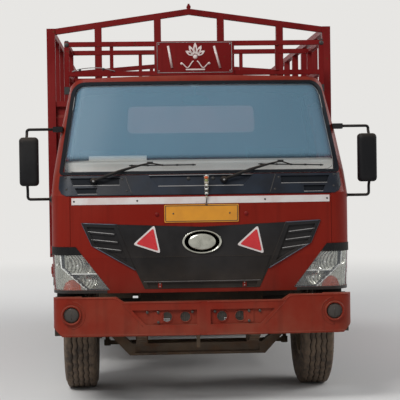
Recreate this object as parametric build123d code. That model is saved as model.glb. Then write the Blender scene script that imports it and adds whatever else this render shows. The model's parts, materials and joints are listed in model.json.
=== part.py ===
from build123d import *

import os
from math import cos, radians, sin

# A light forward-control truck with a high cage body and a rack on the cab roof.
# Millimetres, +X to the vehicle's left, the front faces -Y, +Z up, the origin on the ground.
# Depths are measured back from the face of the bumper, and at(depth) turns one into a Y.

# Overall sizes
LENGTH = 6050.0
WHEELBASE = 3370.0
FRONT_AXLE_DEPTH = 1050.0
REAR_AXLE_DEPTH = FRONT_AXLE_DEPTH + WHEELBASE
FRONT_TRACK = 1700.0
TWIN_MID_TRACK = 1575.0
TWIN_SPACING = 285.0

# Tyres and wheels
TYRE_RADIUS = 430.0
TYRE_WIDTH = 240.0
TREAD_WIDTH = 178.0
SHOULDER_DROP = 14.0
BULGE_RADIUS = 322.0
RIM_RADIUS = 203.0
RIM_WIDTH = 172.0
RIM_FLANGE = 17.0
RIM_SHEET = 9.0
DISC_SHEET = 14.0
HUB_RADIUS = 72.0
HAND_HOLES = 6
HAND_HOLE_RADIUS = 24.0
DRUM_RADIUS = 152.0
FIT = 0.3

# Chassis
RAIL_OUTER = 420.0
RAIL_FLANGE = 65.0
RAIL_WEB = 8.0
RAIL_HEIGHT = 180.0
RAIL_BOTTOM = 620.0
RAIL_TOP = RAIL_BOTTOM + RAIL_HEIGHT
RAIL_FRONT_DEPTH = 270.0
RAIL_REAR_DEPTH = 6000.0
RAIL_INNER = RAIL_OUTER - RAIL_FLANGE
CROSS_MEMBERS = (RAIL_FRONT_DEPTH + 30, 2170.0, 2700.0, 3440.0, 5060.0, RAIL_REAR_DEPTH - 40)
CROSS_TOP = RAIL_TOP - 30
CROSS_BOTTOM = CROSS_TOP - 80
CROSS_HALF = 30.0
HORN_DROP = 70.0

# Tow hook
EYE_X = -26.0
EYE_DEPTH = 281.0
EYE_Z = 400.0
EYE_RADIUS = 12.0
EYE_THICK = 24.0
EYE_WALL = 19.0

# Engine, gearbox and propeller shaft
ENGINE_BACK_DEPTH = 1600.0
GEARBOX_BACK_DEPTH = 2060.0
SHAFT_Z = 640.0
PINION_REACH = 310.0
YOKE_RADIUS = 62.0
SHAFT_RADIUS = 44.0

# Springs and axles
SPRING_X = 410.0
SPRING_WIDTH = 70.0
LEAF = 12.0
KINGPIN_X = 740.0
KINGPIN_RADIUS = 17.0
BEAM_BOTTOM = 225.0
BEAM_HEIGHT = 88.0
BEAM_DEPTH = 76.0
SPINDLE_RADIUS = 31.0
TIE_IN = 70.0
TIE_BACK = 205.0
TIE_Z = 296.0
TIE_PIN = 10.0
TIE_RADIUS = 16.0
AXLE_TUBE_RADIUS = 62.0

# Cargo body
BODY_DEPTH = 1770.0
BODY_WIDTH = 2250.0
BODY_LENGTH = 4250.0
BODY_BOTTOM = 917.0
BODY_RAIL = 93.0
CROSS_HEIGHT = 63.0
FLOOR_SHEET = 20.0
WALL_TOP = 2146.0
POST = 65.0
MID_POST = 55.0
POST_TOP = 2720.0
RIDGE_TOP = 2870.0
REAR_RIDGE_TOP = 2800.0
TOP_RAIL = 46.0
MID_RAIL = 40.0
SHEET = 6.0
RIB = 14.0
SIDE_BAYS = 6
FRONT_POSTS = (720.0, 250.0)
TAILGATE_TOP = 1600.0
TAILGATE_THICK = 34.0
TAILGATE_LIFT = 13.0
HINGE_LUG_X = (-850.0, 0.0, 850.0)
BEARERS = 9
BEARER_WIDTH = 60.0
RIDGE_NUB = 40.0
BODY_HALF = BODY_WIDTH / 2
BODY_Y0 = BODY_DEPTH - LENGTH / 2
BODY_Y1 = BODY_Y0 + BODY_LENGTH
FLOOR_TOP = BODY_BOTTOM + CROSS_HEIGHT + FLOOR_SHEET
TAILGATE_Y = BODY_Y1 + 14
TAILGATE_PIN_Z = BODY_BOTTOM + BODY_RAIL - 8

# Cab. Each plan section has a height, a half width, the depth of its front and a corner radius.
CAB_SECTIONS = (
    (760.0, 1004.0, 132.0, 150.0),
    (1000.0, 1012.0, 110.0, 150.0),
    (1420.0, 1014.0, 128.0, 150.0),
    (1560.0, 1002.0, 190.0, 150.0),
    (1850.0, 955.0, 305.0, 140.0),
    (2190.0, 884.0, 440.0, 130.0),
    (2330.0, 855.0, 496.0, 125.0),
)
CAB_BACK_DEPTH = 1670.0
CAB_BACK_RADIUS = 60.0
CAB_BOW = 58.0
CAB_WALL = 45.0
SKIN = 22.0
ROOF_TOP = 2246.0
ROOF_EDGE = 2222.0
ROOF_SHOULDER = 105.0
CAB_FLOOR_BOTTOM = 950.0
CAB_FLOOR = 40.0
ARCH_RADIUS = 500.0
ARCH_CLEAR = 20.0
TUNNEL_HALF = 360.0
TUNNEL_TOP = 1190.0
TUNNEL_FRONT_DEPTH = 640.0
TUNNEL_WALL = 30.0
PANEL_GAP = 4.0
TILT_DEPTH = 300.0
TILT_HEIGHT = 820.0
TILT_TUBE = 22.0

# Front of the cab
PANEL_HALF = 882.0
PANEL_TOP = 1413.0
COWL_HALF = 960.0
COWL_BOTTOM = 1417.0
COWL_TOP = 1553.0
# Vents on each side: lower and upper edge, inner end, outer end below and above
COWL_VENTS = ((1430.0, 1469.0, 698.0, 830.0, 849.0), (1488.0, 1536.0, 545.0, 862.0, 880.0))
WIPER_PIVOTS = (-723.0, 156.0)
WIPER_TIPS = (-170.0, 700.0)
WIPER_PIVOT_Z = 1515.0
WIPER_BOSS = 16.0
SCREEN_BOTTOM = 1557.0
SCREEN_TOP = 2203.0
SCREEN_HALF_BOTTOM = 961.0
SCREEN_HALF_TOP = 868.0
SCREEN_CORNER = 100.0
SCREEN_FOOT = 28.0
SEAL_WIDTH = 30.0
GLASS = 6.0
LAMP_TOP = 1020.0
LAMP_BOTTOM = 782.0
LAMP_INNER_TOP = 806.0
LAMP_INNER_BOTTOM = 622.0
LAMP_CAP_TOP = 1075.0
LAMP_DEEP = 110.0
LAMP_CUPS = ((862.0, 918.0, 88.0), (770.0, 862.0, 62.0))
GRILLE_PROUD = 8.0
WING_FRAME = ((570.0, 1223.0), (448.0, 912.0), (740.0, 1080.0), (808.0, 1236.0))
WING_FIELD = ((588.0, 1200.0), (500.0, 968.0), (718.0, 1094.0), (772.0, 1210.0))
# Slanted bars of a wing: inner end and outer end of each top edge
WING_BARS = ((588.0, 1160.0, 764.0, 1179.0), (566.0, 1106.0, 741.0, 1125.0), (543.0, 1050.0, 715.0, 1072.0))

# Doors
DOOR_FRONT = 504.0
DOOR_BOTTOM = 764.0
DOOR_STEP_BOTTOM = 980.0
DOOR_TOP = 2130.0
DOOR_REAR = 1370.0
DOOR_GAP = 8.0
SWING_CLEAR = 5.5
HINGE_X = 1021.0
HINGE_DEPTH = 490.0
HINGE_PIN = 8.0
HINGE_BARREL = 14.0
HINGE_HEIGHTS = (900.0, 1380.0)

# Inside the cab
SEAT_FRONT = 820.0
SEAT_Z = 1130.0
DASH_HALF = 925.0
WHEEL_X = -450.0
WHEEL_DEPTH = 745.0
WHEEL_Z = 1520.0
WHEEL_LEAN = 38.0
WHEEL_RADIUS = 215.0
WHEEL_GRIP = 15.0
COLUMN_RADIUS = 28.0
COLUMN_LENGTH = 600.0

# Bumper
BUMPER_HALF = 1000.0
BUMPER_BOTTOM = 484.0
BUMPER_TOP = 743.0
BUMPER_MIDDLE_TOP = 709.0
BUMPER_STEP_X = 553.0
BUMPER_SHEET = 8.0
BUMPER_DEPTH = 78.0
BUMPER_RETURN = 140.0
POCKET_DEPTH = 20.0
FOG_X = 877.0
FOG_Z = 629.0
FOG_RADIUS = 52.0

# Rack on the cab roof
RACK_HALF = 940.0
RACK_FRONT_DEPTH = 850.0
RACK_REAR_DEPTH = 1550.0
RACK_BOTTOM = 2272.0
RACK_TOP = 2520.0
RACK_TUBE = 34.0
RACK_FOOT = 2148.0
SIGN_HALF = 288.0

# Mirrors
MIRROR_OUT = 1235.0
MIRROR_DEPTH = 366.0
MIRROR_X = 1168.0
MIRROR_Z = 1655.0
MIRROR_HEAD = (132.0, 60.0, 335.0)
MIRROR_TUBE = 10.0
MIRROR_ARM_TOP = 1876.0
MIRROR_ARM_LOW = 1396.0
MIRROR_BRACKET = 36.0
PILLAR_X = 932.0
PILLAR_DEPTH = 478.0

FRONT = -LENGTH / 2


def at(depth):
    return FRONT + depth


def block(x0, x1, y0, y1, z0, z1):
    solid = Box(abs(x1 - x0), abs(y1 - y0), abs(z1 - z0), align=(Align.MIN, Align.MIN, Align.MIN))
    return Pos(min(x0, x1), min(y0, y1), min(z0, z1)) * solid


def rod_x(x0, x1, y, z, radius):
    return Pos((x0 + x1) / 2, y, z) * Rot(0, 90, 0) * Cylinder(radius, abs(x1 - x0))


def rod_y(x, y0, y1, z, radius):
    return Pos(x, (y0 + y1) / 2, z) * Rot(90, 0, 0) * Cylinder(radius, abs(y1 - y0))


def rod_z(x, y, z0, z1, radius):
    return Pos(x, y, (z0 + z1) / 2) * Cylinder(radius, abs(z1 - z0))


def front_face(points, radius=0.0):
    # An outline seen from the front, given as X and Z.
    if radius:
        wire = FilletPolyline(*[(x, 0, z) for x, z in points], radius=radius, close=True)
    else:
        wire = Polyline(*[(x, 0, z) for x, z in points], close=True)
    return make_face(wire)


def front_prism(points, y0, y1, radius=0.0):
    return Pos(0, y0, 0) * extrude(front_face(points, radius), amount=y1 - y0, dir=(0, 1, 0))


def side_prism(points, x0, x1, radius=0.0):
    # An outline seen from the side, given as depth and Z.
    corners = [(x0, at(depth), z) for depth, z in points]
    wire = FilletPolyline(*corners, radius=radius, close=True) if radius else Polyline(*corners, close=True)
    return extrude(make_face(wire), amount=x1 - x0, dir=(1, 0, 0))


def ring(profile, x, y, z):
    # A profile of distance along the axle and radius, turned about an axle along X.
    wire = Polyline(*[(along, 0, radius) for along, radius in profile], close=True)
    return Pos(x, y, z) * revolve(make_face(wire), Axis.X)


def both_sides(solid):
    return solid + mirror(solid, Plane.YZ)


def side_pair(solid):
    return [solid, mirror(solid, Plane.YZ)]


def solids_of(shape):
    return [s for s in shape.solids()]


parts = {}


def add(name, *shapes):
    found = []
    for shape in shapes:
        found += solids_of(shape)
    parts[name] = found


# Chassis
def frame_rails():
    rail_y0 = at(RAIL_FRONT_DEPTH)
    rail_y1 = at(RAIL_REAR_DEPTH)
    rail = block(RAIL_INNER, RAIL_OUTER, rail_y0, rail_y1, RAIL_BOTTOM, RAIL_TOP)
    rail -= block(RAIL_INNER - 1, RAIL_OUTER - RAIL_WEB, rail_y0 - 1, rail_y1 + 1,
                  RAIL_BOTTOM + RAIL_WEB, RAIL_TOP - RAIL_WEB)
    # Horns that carry the bumper, low enough for the cab front to swing down over them
    rail += block(RAIL_INNER, RAIL_OUTER, at(BUMPER_DEPTH + 20), at(RAIL_FRONT_DEPTH + 120),
                  RAIL_BOTTOM - HORN_DROP, RAIL_BOTTOM + RAIL_WEB)
    rail += block(RAIL_INNER - 20, RAIL_OUTER + 40, at(POCKET_DEPTH + BUMPER_SHEET + FIT),
                  at(BUMPER_DEPTH + 20), RAIL_BOTTOM - HORN_DROP, RAIL_BOTTOM + 26)
    # Rest under the back of the cab
    rail += block(RAIL_INNER, RAIL_OUTER, at(CAB_BACK_DEPTH - 130), at(CAB_BACK_DEPTH - 60),
                  RAIL_TOP - 1, CAB_FLOOR_BOTTOM - FIT)
    add("frame_rails", *side_pair(rail))


def frame_cross_members():
    reach = RAIL_OUTER - RAIL_WEB
    members = []
    for depth in CROSS_MEMBERS:
        members.append(block(-reach, reach, at(depth) - CROSS_HALF, at(depth) + CROSS_HALF,
                             CROSS_BOTTOM, CROSS_TOP))
    # The cross tube that the cab tilts on, in two saddles on the rails
    tube = rod_x(-RAIL_OUTER, RAIL_OUTER, at(TILT_DEPTH), TILT_HEIGHT, TILT_TUBE)
    saddle = block(RAIL_INNER, RAIL_OUTER, at(TILT_DEPTH) - 26, at(TILT_DEPTH) + 26, RAIL_TOP, TILT_HEIGHT)
    tube += both_sides(saddle)
    tube -= both_sides(block(RAIL_INNER - 1, RAIL_OUTER + 1, at(TILT_DEPTH) - 30, at(TILT_DEPTH) + 30,
                             RAIL_TOP - 20, RAIL_TOP))
    members.append(tube)
    # The tow hook bolted under the first member
    hook = block(EYE_X - EYE_THICK / 2, EYE_X + EYE_THICK / 2, at(EYE_DEPTH) - EYE_WALL,
                 at(EYE_DEPTH) + EYE_WALL, EYE_Z - EYE_WALL - 9, CROSS_BOTTOM - FIT)
    hook -= rod_x(EYE_X - EYE_THICK, EYE_X + EYE_THICK, at(EYE_DEPTH), EYE_Z, EYE_RADIUS)
    members.append(hook)
    add("frame_cross_members", *members)


def spring_pack(x, depth, length, seat_z, eye_z, leaves, up):
    # A pack of leaves, long ones at the eyes, on top of or under the axle.
    half = length / 2
    rise = eye_z - seat_z
    sign = 1 if up else -1
    pack = None
    for i in range(leaves):
        part = 1.0 - 0.125 * i
        drop = -i * LEAF * sign
        end_rise = rise * part * part
        lower = ThreePointArc((0, at(depth - half * part), seat_z + end_rise + drop),
                              (0, at(depth), seat_z + drop),
                              (0, at(depth + half * part), seat_z + end_rise + drop))
        upper = ThreePointArc((0, at(depth - half * part), seat_z + end_rise + drop + LEAF),
                              (0, at(depth), seat_z + drop + LEAF),
                              (0, at(depth + half * part), seat_z + end_rise + drop + LEAF))
        face = make_face([lower, upper, Line(lower @ 0, upper @ 0), Line(lower @ 1, upper @ 1)])
        leaf = Pos(x - SPRING_WIDTH / 2, 0, 0) * extrude(face, amount=SPRING_WIDTH, dir=(1, 0, 0))
        pack = leaf if pack is None else pack + leaf
    for eye_depth in (depth - half, depth + half):
        pack += rod_x(x - SPRING_WIDTH / 2, x + SPRING_WIDTH / 2, at(eye_depth), eye_z + LEAF / 2, 22)
        hanger = block(x - 24, x + 24, at(eye_depth) - 18, at(eye_depth) + 18,
                       eye_z + LEAF / 2, RAIL_BOTTOM - FIT)
        pack += hanger
    return pack


def leaf_springs():
    beam_top = BEAM_BOTTOM + BEAM_HEIGHT
    front = spring_pack(SPRING_X, FRONT_AXLE_DEPTH, 1200, beam_top + 7 * LEAF + FIT, 545, 7, True)
    front += block(SPRING_X - 45, SPRING_X + 45, at(FRONT_AXLE_DEPTH) - 55, at(FRONT_AXLE_DEPTH) + 55,
                   beam_top + FIT, beam_top + LEAF * 8)
    rear_seat = TYRE_RADIUS + AXLE_TUBE_RADIUS + 20
    rear = spring_pack(SPRING_X, REAR_AXLE_DEPTH, 1320, rear_seat + 4 * LEAF + FIT, 585, 5, True)
    add("leaf_springs", *side_pair(front), *side_pair(rear))


def front_axle_beam():
    drop = TYRE_RADIUS - BEAM_HEIGHT / 2 - BEAM_BOTTOM
    low = BEAM_BOTTOM
    high = BEAM_BOTTOM + BEAM_HEIGHT
    outline = [(-KINGPIN_X, low + drop), (-KINGPIN_X + 90, low + drop), (-500, low), (500, low),
               (KINGPIN_X - 90, low + drop), (KINGPIN_X, low + drop), (KINGPIN_X, high + drop),
               (KINGPIN_X - 70, high + drop), (480, high), (-480, high),
               (-KINGPIN_X + 70, high + drop), (-KINGPIN_X, high + drop)]
    y0 = at(FRONT_AXLE_DEPTH) - BEAM_DEPTH / 2
    beam = front_prism(outline, y0, y0 + BEAM_DEPTH)
    # The hollows that leave an I section, between the spring seats
    hollow = block(-460, 460, y0 - 1, y0 + 26, low + 20, high - 20)
    beam -= hollow
    beam -= Pos(0, BEAM_DEPTH + 2 - 27, 0) * hollow
    for side in (-1, 1):
        beam += rod_z(side * KINGPIN_X, at(FRONT_AXLE_DEPTH), low + drop, high + drop, 38)
        beam -= rod_z(side * KINGPIN_X, at(FRONT_AXLE_DEPTH), low + drop - 1, high + drop + 1,
                      KINGPIN_RADIUS + FIT)
    add("front_axle_beam", beam)


def knuckle(side):
    y = at(FRONT_AXLE_DEPTH)
    z = TYRE_RADIUS
    x = KINGPIN_X
    half = BEAM_HEIGHT / 2
    lug = 30
    pin = rod_z(x, y, z - half - FIT - lug, z + half + FIT + lug, KINGPIN_RADIUS)
    yoke = rod_z(x, y, z + half + FIT, z + half + FIT + lug, 36)
    yoke += rod_z(x, y, z - half - FIT - lug, z - half - FIT, 36)
    yoke += block(x, x + 66, y - 36, y + 36, z + half + FIT, z + half + FIT + lug)
    yoke += block(x, x + 66, y - 36, y + 36, z - half - FIT - lug, z - half - FIT)
    yoke += block(x + 42, x + 66, y - 36, y + 36, z - half - lug, z + half + lug)
    yoke += rod_x(x + 42, FRONT_TRACK / 2 + 70, y, z, SPINDLE_RADIUS)
    # The steering arm that runs back to the tie rod
    arm_z = z - half - FIT - lug
    arm = Polyline((x - 26, y, arm_z), (x + 26, y, arm_z), (x + 14 - TIE_IN, y + TIE_BACK + 22, arm_z),
                   (x - 22 - TIE_IN, y + TIE_BACK + 22, arm_z), close=True)
    yoke += extrude(make_face(arm), amount=lug - 4, dir=(0, 0, 1))
    solid = pin + yoke
    solid -= rod_z(x - TIE_IN, y + TIE_BACK, arm_z - 2, arm_z + lug, TIE_PIN + FIT)
    return solid if side > 0 else mirror(solid, Plane.YZ)


def tie_rod():
    # It hangs on the left arm's pin. Its other end stops short of the right arm's hole.
    x = KINGPIN_X - TIE_IN
    y = at(FRONT_AXLE_DEPTH) + TIE_BACK
    top = TYRE_RADIUS - BEAM_HEIGHT / 2 - FIT - 30
    rod = rod_x(-x, x, y, TIE_Z, TIE_RADIUS)
    for side in (-1, 1):
        rod += rod_z(side * x, y, TIE_Z - 22, TIE_Z + 22, 25)
        rod += rod_z(side * x, y, TIE_Z, top - FIT, TIE_PIN + 5)
    rod += rod_z(x, y, TIE_Z, top + 22, TIE_PIN)
    add("tie_rod", rod)


def rear_axle_housing():
    y = at(REAR_AXLE_DEPTH)
    z = TYRE_RADIUS
    end = TWIN_MID_TRACK / 2 - 210
    profile = [(-end, 0), (-end, AXLE_TUBE_RADIUS), (-250, AXLE_TUBE_RADIUS), (-150, 150), (-60, 185),
               (60, 185), (150, 150), (250, AXLE_TUBE_RADIUS), (end, AXLE_TUBE_RADIUS), (end, 0)]
    axle = ring(profile, 0, y, z)
    axle += rod_x(-TWIN_MID_TRACK / 2 - 60, TWIN_MID_TRACK / 2 + 60, y, z, 40)
    axle += rod_y(0, y - PINION_REACH, y, z, 85)
    for side in (-1, 1):
        axle += block(side * SPRING_X - 50, side * SPRING_X + 50, y - 60, y + 60,
                      z, z + AXLE_TUBE_RADIUS + 20)
    add("rear_axle_housing", axle)


def engine_and_gearbox():
    block_width = 600.0
    body = block(-block_width / 2, block_width / 2, at(760), at(ENGINE_BACK_DEPTH), 520, 1110)
    body += rod_y(0, at(ENGINE_BACK_DEPTH), at(GEARBOX_BACK_DEPTH), SHAFT_Z, 165)
    body += block(-190, 190, at(860), at(1500), 420, 521)
    # Mounts that carry it on the rails
    body += block(-RAIL_INNER - 30, RAIL_INNER + 30, at(900), at(960), RAIL_TOP, RAIL_TOP + 40)
    add("engine_and_gearbox", body)


def propeller_shaft():
    start = Vector(0, at(GEARBOX_BACK_DEPTH), SHAFT_Z)
    end = Vector(0, at(REAR_AXLE_DEPTH - PINION_REACH), TYRE_RADIUS)
    run = (end - start).length
    way = (end - start).normalized()
    # The ends stop where the tilted flanges just clear the flat ones they face
    clear = YOKE_RADIUS * abs(end.Z - start.Z) / run + FIT
    yoke = 60.0
    plane = Plane(start + way * clear, z_dir=way)
    shaft = plane * extrude(Circle(SHAFT_RADIUS), amount=run - 2 * clear)
    for k in (0.0, run - 2 * clear - yoke):
        shaft += plane * Pos(0, 0, k) * extrude(Circle(YOKE_RADIUS), amount=yoke)
    add("propeller_shaft", shaft)


# Wheels
def tyre(x, y):
    # Half widths and radii of the bands from the bead over the sidewall to the tread
    bands = [(RIM_WIDTH / 2 - 2, RIM_RADIUS), (RIM_WIDTH / 2 - 2, RIM_RADIUS + RIM_FLANGE + FIT),
             (TYRE_WIDTH / 2, BULGE_RADIUS), (TREAD_WIDTH / 2 + 13, TYRE_RADIUS - SHOULDER_DROP),
             (TREAD_WIDTH / 2, TYRE_RADIUS)]
    profile = [(-half, radius) for half, radius in bands] + [(half, radius) for half, radius in bands[::-1]]
    return ring(profile, x, y, TYRE_RADIUS)


def rim_profile(disc_inner, disc_face, disc_root, outward):
    # Half section of a rim and its dished disc. outward is 1 where the dish points to +X.
    w = RIM_WIDTH / 2
    r = RIM_RADIUS
    f = RIM_FLANGE
    s = RIM_SHEET
    o = outward
    return [(-w * o, r), (-w * o, r + f), (-(w + s) * o, r + f), (-(w + s) * o, r - s),
            ((disc_root - DISC_SHEET / 2) * o, r - s), (disc_face * o - DISC_SHEET * o, 150),
            (disc_face * o - DISC_SHEET * o, disc_inner), (disc_face * o, disc_inner),
            (disc_face * o, 158), ((disc_root + DISC_SHEET) * o, r - s),
            ((w + s) * o, r - s), ((w + s) * o, r + f), (w * o, r + f), (w * o, r)]


def hand_holes(x, y, z, reach):
    out = None
    for k in range(HAND_HOLES):
        a = radians(360 * (k + 0.5) / HAND_HOLES)
        hole = rod_x(x - reach, x + reach, y + 168 * cos(a), z + 168 * sin(a), HAND_HOLE_RADIUS)
        out = hole if out is None else out + hole
    return out


def front_wheel():
    x = FRONT_TRACK / 2
    y = at(FRONT_AXLE_DEPTH)
    z = TYRE_RADIUS
    face = 78.0
    wheel = ring(rim_profile(60, face, 20, 1), x, y, z)
    wheel -= hand_holes(x + 45, y, z, 60)
    hub = ring([(-40, SPINDLE_RADIUS + FIT), (-40, DRUM_RADIUS), (24, DRUM_RADIUS), (24, HUB_RADIUS + 36),
                (face, HUB_RADIUS + 36), (face, HUB_RADIUS), (face + 34, HUB_RADIUS - 6),
                (face + 50, HUB_RADIUS - 30), (face + 50, 0), (74, 0), (74, SPINDLE_RADIUS + FIT)], x, y, z)
    return wheel + hub


def rear_wheels():
    mid = TWIN_MID_TRACK / 2
    y = at(REAR_AXLE_DEPTH)
    z = TYRE_RADIUS
    half = TWIN_SPACING / 2
    outer = ring(rim_profile(60, half, -20, -1), mid + half, y, z)
    inner = ring(rim_profile(60, half, -20, 1), mid - half, y, z)
    pair = outer + inner
    pair -= hand_holes(mid, y, z, 60)
    hub = ring([(-150, 40 + FIT), (-150, DRUM_RADIUS), (-40, DRUM_RADIUS), (-40, HUB_RADIUS + 36),
                (0, HUB_RADIUS + 36), (DISC_SHEET, HUB_RADIUS + 30), (DISC_SHEET, HUB_RADIUS),
                (150, HUB_RADIUS - 10), (160, HUB_RADIUS - 22), (160, 0), (62, 0), (62, 40 + FIT)], mid, y, z)
    return pair + hub


def wheels():
    x = FRONT_TRACK / 2
    y = at(FRONT_AXLE_DEPTH)
    rear_y = at(REAR_AXLE_DEPTH)
    mid = TWIN_MID_TRACK / 2
    half = TWIN_SPACING / 2
    front = front_wheel()
    rear = rear_wheels()
    front_tyre = tyre(x, y)
    rear_tyres = [tyre(mid - half, rear_y), tyre(mid + half, rear_y)]
    add("wheel_front_left", front)
    add("wheel_front_right", mirror(front, Plane.YZ))
    add("tyre_front_left", front_tyre)
    add("tyre_front_right", mirror(front_tyre, Plane.YZ))
    add("wheel_rear_left", rear)
    add("wheel_rear_right", mirror(rear, Plane.YZ))
    add("tyre_rear_left", *rear_tyres)
    add("tyre_rear_right", *[mirror(t, Plane.YZ) for t in rear_tyres])


# Things hung on the chassis
def spare_wheel():
    rim = RIM_WIDTH / 2
    half = TYRE_WIDTH / 2
    profile = make_face(Polyline((90, 0, -8), (90, 0, 8), (190, 0, 8), (196, 0, rim), (222, 0, rim),
                                 (300, 0, half), (380, 0, half - 4), (430, 0, half - 34),
                                 (430, 0, 34 - half), (380, 0, 4 - half), (300, 0, -half), (222, 0, -rim),
                                 (196, 0, -rim), (190, 0, -8), close=True))
    spare = revolve(profile, Axis.Z)
    z = RAIL_BOTTOM - half - 22
    spare = Pos(0, at(5430), z) * spare
    hanger = rod_z(0, at(5430), z - 30, RAIL_BOTTOM + 60, 14)
    hanger += block(-110, 110, at(5430) - 20, at(5430) + 20, z - 30, z - 8)
    hanger += block(-(RAIL_OUTER - RAIL_WEB), RAIL_OUTER - RAIL_WEB, at(5430) - 25, at(5430) + 25,
                    RAIL_BOTTOM + 20, RAIL_BOTTOM + 60)
    add("spare_wheel", spare + hanger)


def fuel_tank():
    x0 = -RAIL_OUTER - 60
    x1 = -RAIL_OUTER - 500
    tank = block(x0, x1, at(2080), at(2880), 420, 800)
    tank = fillet(tank.edges().filter_by(Axis.Y), 60)
    for depth in (2230.0, 2730.0):
        tank += block(x0 - 5, -RAIL_OUTER, at(depth) - 20, at(depth) + 20, 560, 760)
    tank += rod_x(x1 - 24, x1 + 10, at(2200), 700, 42)
    add("fuel_tank", tank)


def battery_box():
    x0 = RAIL_OUTER
    box = block(x0 + 40, x0 + 400, at(1990), at(2540), 500, 790)
    box = fillet(box.edges().filter_by(Axis.Z), 24)
    box += block(x0, x0 + 41, at(2040), at(2490), 640, 760)
    lid = block(x0 + 32, x0 + 408, at(1982), at(2548), 740, 800)
    lid = fillet(lid.edges().filter_by(Axis.Z), 30)
    add("battery_box", box + lid)


def air_tanks():
    tanks = None
    for depth in (2660.0, 3160.0):
        tank = rod_y(RAIL_OUTER + 170, at(depth), at(depth + 420), 640, 112)
        tank = chamfer(tank.edges(), 26)
        tank += block(RAIL_OUTER, RAIL_OUTER + 90, at(depth + 180), at(depth + 230), 600, 690)
        tanks = tank if tanks is None else tanks + tank
    add("air_tanks", tanks)


def exhaust():
    x = -225.0
    z = 556.0
    box = rod_y(x, at(2420), at(3060), z, 92)
    box = chamfer(box.edges(), 20)
    pipe = rod_y(x, at(ENGINE_BACK_DEPTH), at(2421), z, 28)
    pipe += rod_y(x, at(3059), at(3560), z, 28)
    pipe += Pos(x, at(3560), z) * Sphere(28)
    pipe += rod_x(x, -960, at(3560), z, 28)
    hanger = block(x - 16, x + 16, at(2690), at(2710), z + 80, CROSS_BOTTOM)
    add("exhaust", box + pipe + hanger)


def mud_flaps():
    mid = TWIN_MID_TRACK / 2
    flaps = None
    for depth in (REAR_AXLE_DEPTH - 545, REAR_AXLE_DEPTH + 535):
        flap = block(mid - 265, mid + 265, at(depth), at(depth) + 8, 300, 860)
        bar = block(RAIL_OUTER, mid + 265, at(depth) - 22, at(depth) + 1, RAIL_TOP - 50, RAIL_TOP - 10)
        piece = flap + bar
        flaps = piece if flaps is None else flaps + piece
    add("mud_flaps", *side_pair(flaps))


def side_guards():
    x1 = BODY_WIDTH / 2 - 10
    rails = None
    for z in (470.0, 720.0):
        rail = block(x1 - 30, x1, at(2010), at(REAR_AXLE_DEPTH - 600), z, z + 75)
        rails = rail if rails is None else rails + rail
    for depth in (2260.0, 3460.0):
        rails += block(x1 - 60, x1 - 30, at(depth), at(depth) + 40, 470, BODY_BOTTOM - FIT)
    add("side_guards", *side_pair(rails))


def rear_underrun_bar():
    bar = block(-1040, 1040, at(5930), at(6010), 440, 530)
    for side in (-1, 1):
        bar += block(side * RAIL_OUTER, side * (RAIL_OUTER + 12), at(5900), at(5990), 440, RAIL_TOP - 30)
        bar += block(side * 640, side * 1040, at(5990), at(6002), 560, 720)
        bar += block(side * 640, side * 680, at(5940), at(5991), 520, 720)
    add("rear_underrun_bar", bar)


def body_lamps():
    lamps = []
    for side in (-1, 1):
        x = side * 860
        lamps.append(block(x - 150, x + 150, at(6002), at(6024), 585, 695))
        lamps.append(block(side * 1085, side * 1123, at(BODY_DEPTH - 14), at(BODY_DEPTH), 945, 1005))
    add("body_lamps", *lamps)


def cab_steps():
    # The lower tread reaches further forward than the box above it, under the swing of the cab corner.
    outline = [(220, 470), (545, 470), (545, 735), (355, 735), (345, 640), (205, 620), (205, 520)]
    body = side_prism(outline, 800, 1000, 12)
    for z in (560, 690):
        depth = 300 if z < 600 else 440
        body -= block(860, 1010, at(depth - 85), at(depth + 85), z, z + 46)
    arm = block(RAIL_OUTER, 810, at(400), at(440), 660, 700)
    add("cab_steps", *side_pair(body + arm))


# Front bumper
def bumper_plan(inset, z0, z1):
    half = BUMPER_HALF - inset
    bow = 34.0
    corner = 110.0 - inset
    arc = ThreePointArc((-half, at(bow) + inset, z0), (0, at(0) + inset, z0), (half, at(bow) + inset, z0))
    back = at(400)
    face = make_face([arc, Line(arc @ 0, (-half, back, z0)), Line((-half, back, z0), (half, back, z0)),
                      Line((half, back, z0), arc @ 1)])
    face = fillet(face.vertices().sort_by(Axis.Y)[:2], corner)
    return extrude(face, amount=z1 - z0, dir=(0, 0, 1))


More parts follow.
